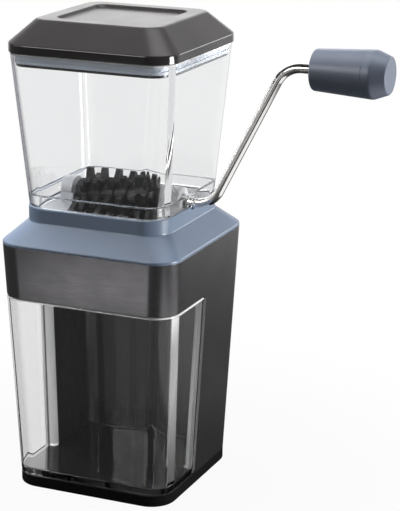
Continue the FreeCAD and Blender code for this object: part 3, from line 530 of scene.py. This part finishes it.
def brushed(name, tint, width, roughness, **sockets):
    """Metallic lacquer over very fine level brushing, with painted shade that turns the walls' inside near
    black and matt.
    """
    finish = Finish(name, tint, roughness, **sockets)
    tree = finish.tree
    lines = finish.noise((0.006, 0.006, width))
    finish.vary_colour(finish.noise((0.012, 0.012, 0.012), detail=4.0), 0.08)
    place = parts(tree, finish.place)
    rise = metres(BASE_TOP, HOUSING_TOP)
    centre = ramp(tree, place["Z"], *rise, *metres(BODY_FOOT_CENTRE, BODY_TOP_CENTRE), "LINEAR")
    skin = ramp(tree, place["Z"], *rise, *metres(BASE_HALF, HOUSING_TOP_HALF), "LINEAR")
    past = {axis: maths(tree, "SUBTRACT", size_of(tree, place[axis]), centre) for axis in "XY"}
    beyond = node(tree, "ShaderNodeCombineXYZ", links=[
        (axis, maths(tree, "MAXIMUM", past[axis], 0)) for axis in "XY"]).outputs["Vector"]
    reach = node(tree, "ShaderNodeVectorMath", operation="LENGTH", links=[(0, beyond)]).outputs["Value"]
    # Painted shade: deeper in the walls than the lacquer, the colour turns near black and loses its metal
    depth = maths(tree, "SUBTRACT", skin, maths(tree, "ADD", centre, reach))
    outer = ramp(tree, depth, *metres(*INSIDE_SHADE_DEPTH), 1.0, 0.0)
    lacquer = finish.shader.inputs["Base Color"].links[0].from_socket
    mix = node(tree, "ShaderNodeMix", data_type="RGBA", links=[("Factor", outer)])
    mix.inputs["A"].default_value = (*HOUSING_INSIDE_SHADE, 1)
    tree.links.new(lacquer, mix.inputs["B"])
    finish.wire("Base Color", mix.outputs["Result"])
    finish.wire("Metallic", maths(tree, "MULTIPLY", outer, finish.shader.inputs["Metallic"].default_value))
    inner = node(tree, "ShaderNodeMix", A=HOUSING_INSIDE_ROUGH, links=[
        ("Factor", outer), ("B", finish.ranged(lines, roughness - 0.03, roughness + 0.03))])
    finish.wire("Roughness", inner.outputs["Result"])
    finish.bump(lines, BRUSH_RELIEF * MM)
    return finish.material


def clear_plastic(name, tint, rim, absorbed, edge_shade):
    """Clear plastic with painted shade that greys its rounded corners seen edge on, more on the left, and
    matt at its rim and steps.

    Lamps and late rays pass it.
    """
    finish = Finish(name, tint, 0.02, IOR=1.49)
    tree = finish.tree
    place = parts(tree, finish.place)
    facing = parts(tree, node(tree, "ShaderNodeTexCoord").outputs["Normal"])
    slant = maths(tree, "MINIMUM", size_of(tree, facing["X"]), size_of(tree, facing["Y"]))
    rounded = ramp(tree, slant, 0.05, 0.25, 0.0, 1.0)
    middle = ramp(tree, size_of(tree, place["Y"]), *metres(*STEP_MATT), 1.0, 0.0)
    clear = ramp(tree, place["Z"], *metres(*(rim - below for below in FROSTED_RIM)), 1.0, 0.2)
    stepped = maths(tree, "MULTIPLY", middle, ramp(tree, slant, 0.12, 0.32, 0.0, 1.0))
    steps = ramp(tree, stepped, 0.0, 1.0, 1.0, 0.15)
    finish.wire("Transmission Weight", maths(tree, "MULTIPLY", clear, steps))
    # Painted shade: rounded corners seen edge on are mixed towards the darker corner colour, more so on the
    # left
    edge_on_shade = maths(tree, "ADD", node(tree, "ShaderNodeLayerWeight").outputs["Facing"],
                    ramp(tree, place["X"], *metres(*EDGE_SHADE_SIDES), 0.35, 0.0))
    edge_on_shade = ramp(tree, edge_on_shade, 0.65, 0.90, 0.0, 1.0)
    edge_shaded = node(tree, "ShaderNodeMix", data_type="RGBA",
                  links=[("Factor", maths(tree, "MULTIPLY", rounded, edge_on_shade))])
    edge_shaded.inputs["A"].default_value = (*tint, 1)
    edge_shaded.inputs["B"].default_value = (*edge_shade, 1)
    finish.wire("Base Color", edge_shaded.outputs["Result"])
    finish.vary_roughness(finish.noise((0.012, 0.012, 0.02), detail=4.0), 0.0, 0.035)
    finish.bump(finish.noise((0.04, 0.04, 0.06)), 0.00004)
    through = node(tree, "ShaderNodeBsdfTransparent", Color=(*tint, 1))
    rays = node(tree, "ShaderNodeLightPath").outputs
    late = maths(tree, "GREATER_THAN", rays["Ray Depth"], LATE_RAY)
    plain = maths(tree, "MAXIMUM", rays["Is Shadow Ray"], late)
    mix = node(tree, "ShaderNodeMixShader", links=[
        (0, plain), (1, finish.shader.outputs["BSDF"]), (2, through.outputs["BSDF"])])
    grey = node(tree, "ShaderNodeVolumeAbsorption", Color=(0.0, 0.06, 0.12, 1), Density=absorbed)
    ends = tree.nodes["Material Output"].inputs
    tree.links.new(mix.outputs["Shader"], ends["Surface"])
    tree.links.new(grey.outputs["Volume"], ends["Volume"])
    return finish.material


def polished_steel(name, tint, roughness):
    """Polished steel with faint drawn lines along X."""
    finish = Finish(name, tint, roughness, Metallic=1.0)
    lines = finish.noise((0.02, 0.0004, 0.0004), detail=3.0)
    finish.vary_roughness(lines, roughness - 0.03, roughness + 0.05)
    finish.vary_colour(finish.noise((0.01, 0.01, 0.01)), 0.04)
    finish.bump(lines, 0.0000005)
    return finish.material


def rubber(name, tint):
    """Matte rubber with a fine pebbled surface."""
    finish = Finish(name, tint, 0.8, Specular_IOR_Level=0.3)
    pebbles = finish.noise((0.0009,) * 3)
    finish.vary_colour(pebbles, 0.2)
    finish.vary_roughness(pebbles, 0.7, 0.95)
    finish.bump(pebbles, 0.00006)
    return finish.material


# Pieces

def body_half(z):
    """Half width of the body at a height."""
    return BASE_HALF + (HOUSING_TOP_HALF - BASE_HALF) * (z - BASE_TOP) / (HOUSING_TOP - BASE_TOP)


def hopper_at(z, inset=0.0):
    """Half width and corner centre of the hopper at a height."""
    share = (z - NECK_TOP) / (HOPPER_RIM - NECK_TOP)
    return (HOPPER_FOOT_HALF + (HOPPER_RIM_HALF - HOPPER_FOOT_HALF) * share - inset,
            HOPPER_FOOT_CENTRE + (HOPPER_RIM_CENTRE - HOPPER_FOOT_CENTRE) * share)


def shaft_cutter(name, radius):
    """Round cutter along the shaft, through the walls on the right."""
    return turned(name, [(CUT_FROM, radius, 0), (CUT_TO, radius, 0)], SHAFT_Z)


def settings(context):
    """Colours and sizes that the panel holds."""
    return context.scene.grinder_colours, context.scene.grinder_sizes


class GRINDER_OT_base(bpy.types.Operator):
    """Black base plate and the rubber pad underneath"""
    bl_idname = "grinder.base"
    bl_label = "Base"
    bl_options = {"REGISTER", "UNDO"}

    def execute(self, context):
        colours, sizes = settings(context)
        edge = sizes.edge / MM
        plate = shell("base_plate_finished", [
            (BASE_HALF, BASE_TOP, BODY_FOOT_CENTRE, 0),
            (BASE_HALF, PAD_PROUD, BODY_FOOT_CENTRE, 2 * edge),
            (PAD_HALF, PAD_PROUD, PAD_CENTRE, edge / 2),
            (PAD_HALF, PAD_TOP, PAD_CENTRE, 0)], closed=False)
        black = moulded("base_black", colours.base, sizes.grain, roughness=0.22, Specular_IOR_Level=0.15)
        placed(plate, black, "body", "base_plastic", "base_plate")
        coat(rubber("pad_rubber_finish", colours.rubber), "non_slip_pad")
        return {"FINISHED"}


class GRINDER_OT_housing(bpy.types.Operator):
    """Brushed anthracite housing with its softened edges"""
    bl_idname = "grinder.housing"
    bl_label = "Housing"
    bl_options = {"REGISTER", "UNDO"}

    def execute(self, context):
        colours, sizes = settings(context)
        piece = softened("housing", sizes.fine_edge)
        finish = brushed("housing_brushed", colours.housing, sizes.brush, roughness=0.24, Metallic=0.9)
        placed(piece, finish, "body", "housing_plastic", "housing")
        return {"FINISHED"}


class GRINDER_OT_collar(bpy.types.Operator):
    """Blue grey collar with its sloping shoulder and the notch for the crank"""
    bl_idname = "grinder.collar"
    bl_label = "Collar"
    bl_options = {"REGISTER", "UNDO"}

    def execute(self, context):
        colours, sizes = settings(context)
        edge = sizes.edge / MM
        piece = shell("collar_finished", [
            (HOUSING_TOP_HALF, HOUSING_TOP, BODY_TOP_CENTRE, edge / 2),
            (HOUSING_TOP_HALF, SHOULDER, BODY_TOP_CENTRE, 2 * edge),
            (NECK_HALF, NECK_FOOT, NECK_CENTRE, 2 * edge),
            (NECK_HALF, NECK_TOP, NECK_CENTRE, edge),
            (NECK_INSIDE, NECK_TOP, NECK_CENTRE, edge),
            (NECK_INSIDE, NECK_FOOT, NECK_CENTRE, edge / 2),
            (LEDGE_HALF, NECK_FOOT, LEDGE_CENTRE, edge / 2),
            (LEDGE_HALF, LEDGE_FOOT, LEDGE_CENTRE, edge / 2),
            (LEDGE_FAR_HALF, LEDGE_FOOT, NECK_CENTRE, 0),
            (SKIRT_INSIDE, SKIRT_TOP, SKIRT_CENTRE, 0),
            (SKIRT_INSIDE, SKIRT_FOOT, SKIRT_CENTRE, edge / 2),
            (SKIRT_HALF, SKIRT_FOOT, SKIRT_CENTRE, edge / 2),
            (SKIRT_HALF, HOUSING_TOP, SKIRT_CENTRE, 0)])
        combine(piece, shaft_cutter("notch", NOTCH_R))
        soften(piece, sizes.fine_edge)
        finish = moulded("collar_blue_grey", colours.collar, sizes.grain, roughness=0.36, worn=True)
        placed(piece, finish, "body", "collar_plastic", "collar")
        return {"FINISHED"}


class GRINDER_OT_container(bpy.types.Operator):
    """Clear container, flush with the housing in front and narrower inside it"""
    bl_idname = "grinder.container"
    bl_label = "Container"
    bl_options = {"REGISTER", "UNDO"}

    def execute(self, context):
        colours, sizes = settings(context)
        edge = sizes.edge / MM
        profile = [(CONTAINER_FILLET, CONTAINER_FOOT, 0, 0),
                   (0, CONTAINER_FOOT, 0, CONTAINER_FILLET),
                   (0, CONTAINER_RIM, 0, 2 * edge),
                   (CONTAINER_WALL, CONTAINER_RIM, 0, edge),
                   (CONTAINER_WALL, CONTAINER_FLOOR, 0, CONTAINER_FILLET),
                   (CONTAINER_WALL + CONTAINER_FLAT, CONTAINER_FLOOR, 0, 0)]
        rings = [[(x, y, z) for x, y in outline(container_plan(inset, z), CONTAINER_STEPS)]
                 for inset, z, _ in eased(profile, False)]
        piece = lofted("container_finished", rings)
        # Its corners seen edge on take a faint painted shade
        finish = clear_plastic("container_clear", colours.container, CONTAINER_RIM,
                               absorbed=2.0, edge_shade=(0.90, 0.90, 0.92))
        placed(piece, finish, "container", "clear_plastic", "container")
        return {"FINISHED"}


def container_plan(inset, z):
    """Corners of the container's section: wide in front, stepping in behind the window's edge."""
    half = body_half(z)
    over = max(z - (CONTAINER_RIM - STEP_ROUND), 0)
    rounding = STEP_ROUND - math.sqrt(max(STEP_ROUND * STEP_ROUND - over * over, 0))
    step = STEP_Y + STEP_LEAN * (z - BASE_TOP) / STEP_RISE - rounding - inset
    wide, narrow, rear = half - inset, half - NARROW_IN - inset, half - REAR_IN - inset
    right = [(wide, -wide, BODY_R - FRONT_TIGHTER * inset),
             (wide, step, max(STEP_OUTER_R - inset, SMALLEST_R)),
             (narrow, step, STEP_INNER_R + inset),
             (narrow, rear, REAR_R - inset / 2)]
    return right + [(-x, y, radius) for x, y, radius in reversed(right)]


class GRINDER_OT_hopper(bpy.types.Operator):
    """Clear hopper with a thick band at its foot and an arched slot over the crank rod"""
    bl_idname = "grinder.hopper"
    bl_label = "Hopper"
    bl_options = {"REGISTER", "UNDO"}

    def execute(self, context):
        colours, sizes = settings(context)
        edge = sizes.edge / MM
        foot, foot_centre = hopper_at(HOPPER_FOOT)
        rim, rim_centre = hopper_at(HOPPER_RIM)
        band, band_centre = hopper_at(BAND_TOP, HOPPER_WALL)
        piece = shell("hopper_finished", [
            (foot, HOPPER_FOOT, foot_centre, edge),
            (rim, HOPPER_RIM, rim_centre, edge),
            (rim - HOPPER_WALL, HOPPER_RIM, rim_centre + HOPPER_WALL, edge),
            (band, BAND_TOP, band_centre + HOPPER_WALL, 2 * edge),
            (SPIGOT_INSIDE, BAND_TOP, NECK_CENTRE, edge),
            (SPIGOT_INSIDE, SPIGOT_FOOT, NECK_CENTRE, edge / 2),
            (SPIGOT_HALF, SPIGOT_FOOT, NECK_CENTRE, edge / 2),
            (SPIGOT_HALF, HOPPER_FOOT, NECK_CENTRE, 0)])
        wall, _ = hopper_at(SHAFT_Z)
        arch = turned("arch", [(wall - ARCH_DEPTH, ARCH_R, 0), (wall + ARCH_PROUD, ARCH_R, 0)], SHAFT_Z)
        combine(arch, block("arch_trim", CUT_FROM, CUT_TO, -2 * ARCH_R, 2 * ARCH_R, CUT_FOOT, HOPPER_FOOT))
        combine(piece, arch, "UNION")
        combine(piece, shaft_cutter("slot", SLOT_R))
        combine(piece, block("slot_foot", CUT_FROM, CUT_TO, -SLOT_R, SLOT_R, CUT_FOOT, SHAFT_Z))
        soften(piece, sizes.fine_edge)
        # Its corners seen edge on take a dark painted shade
        finish = clear_plastic("hopper_clear", colours.hopper, HOPPER_RIM,
                               absorbed=22.0, edge_shade=(0.20, 0.20, 0.23))
        placed(piece, finish, "hopper", "clear_plastic", "hopper")
        return {"FINISHED"}


class GRINDER_OT_lid(bpy.types.Operator):
    """Anthracite lid with its recessed top, its plug and its soft seal"""
    bl_idname = "grinder.lid"
    bl_label = "Lid"
    bl_options = {"REGISTER", "UNDO"}

    def execute(self, context):
        colours, sizes = settings(context)
        edge = sizes.edge / MM
        recess_z = LID_TOP - RECESS_DEPTH
        piece = shell("lid_finished", [
            (RECESS_HALF - RECESS_FLAT, recess_z, RECESS_CENTRE, 0),
            (RECESS_HALF - RECESS_SLOPE, recess_z, RECESS_CENTRE, 2 * edge),
            (RECESS_HALF, LID_TOP, RECESS_CENTRE, 2 * edge),
            (LID_TOP_HALF, LID_TOP, LID_TOP_CENTRE, 6 * edge),
            (LID_HALF, LID_CREASE, LID_CENTRE, 2.5 * edge),
            (LID_HALF, LID_FOOT, LID_CENTRE, edge / 2),
            (LID_HALF - LID_WALL, LID_FOOT, LID_CENTRE, edge / 2),
            (LID_HALF - LID_WALL, LID_INSIDE_CREASE, LID_CENTRE, 0),
            (LID_INSIDE_TOP_HALF, LID_INSIDE_TOP, LID_TOP_CENTRE, 0)], closed=False)
        finish = moulded("lid_anthracite", colours.lid, sizes.grain, roughness=0.33,
                         gloss=LID_CREASE - 0.2, worn=True)
        placed(piece, finish, "lid", "lid_plastic", "lid_shell")
        coat(moulded("plug_black", colours.base, sizes.grain, roughness=0.3), "lid_plug")
        coat(moulded("seal_blue_grey", colours.seal, sizes.grain, roughness=0.4), "lid_seal")
        return {"FINISHED"}


class GRINDER_OT_crank(bpy.types.Operator):
    """Bent steel crank rod with its knob"""
    bl_idname = "grinder.crank"
    bl_label = "Crank"
    bl_options = {"REGISTER", "UNDO"}

    def execute(self, context):
        colours, sizes = settings(context)
        steel = polished_steel("crank_steel", colours.steel, roughness=0.10)
        placed(crank_rod(), steel, "crank", "rod_steel", "crank_rod")
        coat(steel, "shaft_clip", "drive_pin", "knob_clip")
        finish = moulded("knob_blue_grey", colours.knob, sizes.grain, roughness=0.38)
        grip = turned("knob_finished", [
            (KNOB_HOLLOW, KNOB_BORE_R, 0),
            (KNOB_START, KNOB_BORE_R, 0.3),
            (KNOB_START, KNOB_START_R, 1.2),
            (KNOB_SEAM - SEAM_GAP, KNOB_SEAM_R, 0.12),
            (KNOB_SEAM - SEAM_GAP, KNOB_CORE_R, 0.1),
            (KNOB_HOLLOW, KNOB_CORE_R, 0)], KNOB_Z, closed=True)
        placed(grip, finish, "knob", "knob_plastic", "knob")
        cap = turned("knob_cap_finished", [
            (CAP_START, KNOB_CORE_R, 0),
            (KNOB_SEAM + SEAM_GAP, KNOB_CORE_R, 0),
            (KNOB_SEAM + SEAM_GAP, KNOB_SEAM_R + 0.01, 0.12),
            (KNOB_CONE, KNOB_CONE_R, 4.0),
            (KNOB_END, KNOB_END_R, 0.8),
            (KNOB_END, KNOB_END_R - KNOB_FLAT, 0)], KNOB_Z)
        placed(cap, finish, "knob", "knob_plastic", "knob_cap")
        return {"FINISHED"}


def crank_rod():
    """Round rod along the shaft, up the arm and into the knob."""
    line = [Vector((ROD_START, SHAFT_Z)), Vector((ROD_LOW_BEND, SHAFT_Z)),
            Vector((ROD_HIGH_BEND, KNOB_Z)), Vector((ROD_END, KNOB_Z))]
    path = [line[0]]
    for index in (1, 2):
        path += corner_arc(line[index - 1], line[index], line[index + 1], BEND_R, BEND_STEPS)
    path.append(line[-1])
    rings = []
    for index, place in enumerate(path):
        before, after = path[max(index - 1, 0)], path[min(index + 1, len(path) - 1)]
        along = (after - before).normalized()
        across = Vector((-along.y, along.x)) * ROD_R
        rings.append([(place.x + across.x * x, ROD_R * y, place.y + across.y * x)
                      for x, y in circle(ROD_STEPS)])
    return lofted("crank_rod_finished", rings)


class GRINDER_OT_mill(bpy.types.Operator):
    """Funnel, combs, toothed rotor, bearings and screws"""
    bl_idname = "grinder.mill"
    bl_label = "Mill"
    bl_options = {"REGISTER", "UNDO"}

    def execute(self, context):
        colours, sizes = settings(context)
        funnel = moulded("funnel_light_grey", colours.funnel, sizes.grain, roughness=0.45)
        coat(funnel, "mill_frame", "bearing_cap_right", "bearing_cap_left")
        black = moulded("mill_black", colours.mill, sizes.grain, roughness=0.5, Specular_IOR_Level=0.3)
        rotor = [name for name in frame["nodes"] if name.startswith("rotor")]
        coat(black, "coarse_comb", "fine_comb", "shaft_bush_right", "shaft_bush_left", *rotor)
        screws = polished_steel("screw_steel_finish", colours.steel, roughness=0.22)
        coat(screws, "base_screws", "collar_screws", "mill_screws", "comb_screws")
        return {"FINISHED"}


# Studio

class GRINDER_OT_studio(bpy.types.Operator):
    """Pale floor, white room, soft lights and the camera"""
    bl_idname = "grinder.studio"
    bl_label = "Studio"
    bl_options = {"REGISTER", "UNDO"}

    def execute(self, context):
        studio = context.scene.grinder_studio
        context.scene.view_settings.view_transform = "Standard"
        context.scene.world = room(studio)
        floor(studio)
        middle = (0, 0, 0.15)
        softbox("overhead_softbox", (-0.35, 0, 0.97), middle, (0.62, 0.62), studio.key, gloss=False)
        softbox("overhead_gloss", (0.25, 0.05, 1.00), middle, (0.62, 0.62), studio.gloss, matte=False)
        softbox("right_softbox", (0.75, 0.10, 0.08), (0.05, 0, 0.18), (0.28, 0.34), studio.side)
        softbox("rear_softbox", (-0.50, 1.20, 0.60), (0, 0, 0.22), (0.8, 0.6), studio.back)
        softbox("front_softbox", (-0.32, -0.74, 0.32), (0, -0.04, 0.15), (0.20, 0.20), studio.front)
        softbox("edge_light", (-0.28, -0.65, 0.50), middle, (0.36, 0.24), studio.edges, matte=False)
        softbox("rear_rim_light", (0.61, 1.16, 0.32), (0.04, 0, 0.15), (0.50, 0.25), studio.rim,
                matte=False)
        camera(context)
        return {"FINISHED"}


def unlit_rays(tree, reflected):
    """1 for the rays that don't light matte surfaces: those before a reflection, or those after one."""
    rays = node(tree, "ShaderNodeLightPath").outputs
    return maths(tree, "MULTIPLY", maths(tree, "LESS_THAN", rays["Diffuse Depth"], 0.5),
                 maths(tree, "GREATER_THAN" if reflected else "LESS_THAN", rays["Glossy Depth"], 0.5))


def shown(tree, even, outside, inside, white):
    """Light of the room or floor: even, in reflections, in reflections inside clear walls, and as seen."""
    rays = node(tree, "ShaderNodeLightPath").outputs
    passed = maths(tree, "GREATER_THAN", rays["Transmission Depth"], 0.5)
    strength = node(tree, "ShaderNodeMix", links=[("Factor", passed), ("A", outside), ("B", inside)])
    mirrored = node(tree, "ShaderNodeEmission", links=[("Strength", strength.outputs["Result"])])
    first = node(tree, "ShaderNodeMixShader", links=[
        (0, unlit_rays(tree, True)), (1, even), (2, mirrored.outputs[0])])
    seen = unlit_rays(tree, False)
    if white is not None:
        seen = maths(tree, "MULTIPLY", seen, white)
    return node(tree, "ShaderNodeMixShader", links=[
        (0, seen), (1, first.outputs[0]), (2, node(tree, "ShaderNodeEmission").outputs[0])]).outputs[0]


def room(studio):
    """World: an even dim light, a backdrop that reflections see behind and beside, and white as seen."""
    world = bpy.data.worlds.new("studio_room")
    world.use_nodes = True
    tree = world.node_tree
    even = tree.nodes["Background"]
    even.inputs["Color"].default_value = (1, 1, 1, 1)
    even.inputs["Strength"].default_value = studio.room
    ray = node(tree, "ShaderNodeTexCoord").outputs["Generated"]
    way = parts(tree, ray)
    behind = maths(tree, "ADD", way["Y"], maths(tree, "MULTIPLY", way["X"], 0.2))
    low = ramp(tree, way["Z"], *ROOM_LOW, 1.0, 0.3)
    backdrop = maths(tree, "MULTIPLY", low, ramp(tree, behind, *ROOM_BEHIND, studio.ahead, 1.0))
    spot = node(tree, "ShaderNodeVectorMath", operation="DOT_PRODUCT", links=[(0, ray)])
    spot.inputs[1].default_value = LEFT_GLOW
    glow = ramp(tree, spot.outputs["Value"], *GLOW_EDGE, 0.0, GLOW)
    outside = maths(tree, "ADD", backdrop, glow)
    beside = maths(tree, "ADD", way["Y"], size_of(tree, way["X"]))
    inside = ramp(tree, beside, *ROOM_BESIDE, 0.4, 1.0)
    total = shown(tree, even.outputs[0], outside, inside, None)
    tree.links.new(total, tree.nodes["World Output"].inputs["Surface"])
    return world


def floor_card(tree, way, card, brightness):
    """Brightness of one card: full inside it and none beyond its soft edges."""
    middles, widths, strength = card
    inside = []
    for axis, middle, width in zip("XY", middles, widths):
        away = size_of(tree, maths(tree, "SUBTRACT", way[axis], middle))
        inside.append(ramp(tree, away, width / 2 - CARD_SOFT, width / 2 + CARD_SOFT, 1.0, 0.0))
    return maths(tree, "MULTIPLY", maths(tree, "MULTIPLY", *inside), brightness * strength)


def floor(studio):
    """Pale floor that takes the object's shadow and shows white further off."""
    bm = bmesh.new()
    bmesh.ops.create_circle(bm, cap_ends=True, radius=FLOOR_RADIUS, segments=96)
    piece = mesh_piece("studio_floor", bm)
    piece.location.z = -FLOOR_DROP
    material = bpy.data.materials.new("floor_white")
    material.use_nodes = True
    tree = material.node_tree
    shader = tree.nodes["Principled BSDF"]
    shader.inputs["Base Color"].default_value = (FLOOR_GREY, FLOOR_GREY, FLOOR_GREY, 1)
    shader.inputs["Roughness"].default_value = 1.0
    shader.inputs["Specular IOR Level"].default_value = 0.0
    place = node(tree, "ShaderNodeTexCoord").outputs["Object"]
    away = node(tree, "ShaderNodeVectorMath", operation="LENGTH", links=[(0, place)]).outputs["Value"]
    way = parts(tree, place)
    beyond = maths(tree, "MAXIMUM", ramp(tree, way["Y"], *BACKDROP, studio.ahead, 0.8),
                   ramp(tree, away, *FAR_FLOOR, 0.0, 0.9))
    outside = maths(tree, "MULTIPLY", ramp(tree, away, *UNDER_GRINDER, 0.1, 1.0), beyond)
    for card in FLOOR_CARDS:
        outside = maths(tree, "ADD", outside, floor_card(tree, way, card, studio.card))
    beside = maths(tree, "ADD", way["Y"], size_of(tree, way["X"]))
    right = maths(tree, "MAXIMUM", ramp(tree, way["X"], *CLEAR_RIGHT, 1.0, 0.4),
                  ramp(tree, away, *CLEAR_RIGHT_FAR, 0.4, 1.0))
    inside = maths(tree, "MULTIPLY", ramp(tree, beside, *CLEAR_BESIDE, 0.3, 1.0), right)
    white = ramp(tree, away, *SHADE_ENDS, 0.95, 1.0)
    total = shown(tree, shader.outputs[0], outside, inside, white)
    tree.links.new(total, tree.nodes["Material Output"].inputs["Surface"])
    piece.data.materials.append(material)


def softbox(name, place, target, size, watts, matte=True, gloss=True):
    """Area lamp of a width and height aimed at a point, which may light matte surfaces or gloss only."""
    lamp = bpy.data.lights.new(name, "AREA")
    lamp.shape = "RECTANGLE"
    lamp.size, lamp.size_y = size
    lamp.energy = watts
    piece = bpy.data.objects.new(name, lamp)
    piece.location = place
    piece.visible_camera = False
    piece.visible_diffuse, piece.visible_glossy = matte, gloss
    piece.rotation_euler = (Vector(place) - Vector(target)).to_track_quat("Z", "Y").to_euler()
    bpy.context.scene.collection.objects.link(piece)


def camera(context):
    """Camera at the photograph's place, turn and lens."""
    turn, rise, roll, away = math.radians(23.2), math.radians(16.2), math.radians(0.54), 0.88917
    target = Vector((0.04049, 0, 0.11633))
    back = Vector((math.sin(turn) * math.cos(rise), -math.cos(turn) * math.cos(rise), math.sin(rise)))
    right = Vector((math.cos(turn), math.sin(turn), 0))
    up = back.cross(right)
    across = right * math.cos(roll) + up * math.sin(roll)
    upright = up * math.cos(roll) - right * math.sin(roll)
    lens = bpy.data.cameras.new("photo_camera")
    lens.lens = 131.27
    piece = bpy.data.objects.new("photo_camera", lens)
    piece.matrix_world = Matrix.Translation(target + back * away) @ Matrix(
        (across, upright, back)).transposed().to_4x4()
    context.scene.collection.objects.link(piece)
    context.scene.camera = piece


OPERATORS = (GRINDER_OT_base, GRINDER_OT_housing, GRINDER_OT_collar, GRINDER_OT_container,
             GRINDER_OT_hopper, GRINDER_OT_lid, GRINDER_OT_crank, GRINDER_OT_mill, GRINDER_OT_studio)


class GRINDER_PT_panel(bpy.types.Panel):
    """Lists the grinder's pieces and finishes"""
    bl_idname = "GRINDER_PT_panel"
    bl_label = "Nut grinder"
    bl_space_type = "VIEW_3D"
    bl_region_type = "UI"
    bl_category = "Nut grinder"

    def draw(self, context):
        for group in ("grinder_sizes", "grinder_colours", "grinder_studio"):
            values = getattr(context.scene, group)
            box = self.layout.box()
            for name in values.__annotations__:
                box.prop(values, name)
        for operator in OPERATORS:
            self.layout.operator(operator.bl_idname)


CLASSES = (GrinderColours, GrinderSizes, GrinderStudio, *OPERATORS, GRINDER_PT_panel)


def register():
    for item in CLASSES:
        bpy.utils.register_class(item)
    bpy.types.Scene.grinder_colours = bpy.props.PointerProperty(type=GrinderColours)
    bpy.types.Scene.grinder_sizes = bpy.props.PointerProperty(type=GrinderSizes)
    bpy.types.Scene.grinder_studio = bpy.props.PointerProperty(type=GrinderStudio)


def unregister():
    for name in ("grinder_colours", "grinder_sizes", "grinder_studio"):
        delattr(bpy.types.Scene, name)
    for item in reversed(CLASSES):
        bpy.utils.unregister_class(item)


def main():
    register()
    for operator in OPERATORS:
        group, name = operator.bl_idname.split(".")
        getattr(getattr(bpy.ops, group), name)()


if __name__ == "__main__":
    main()
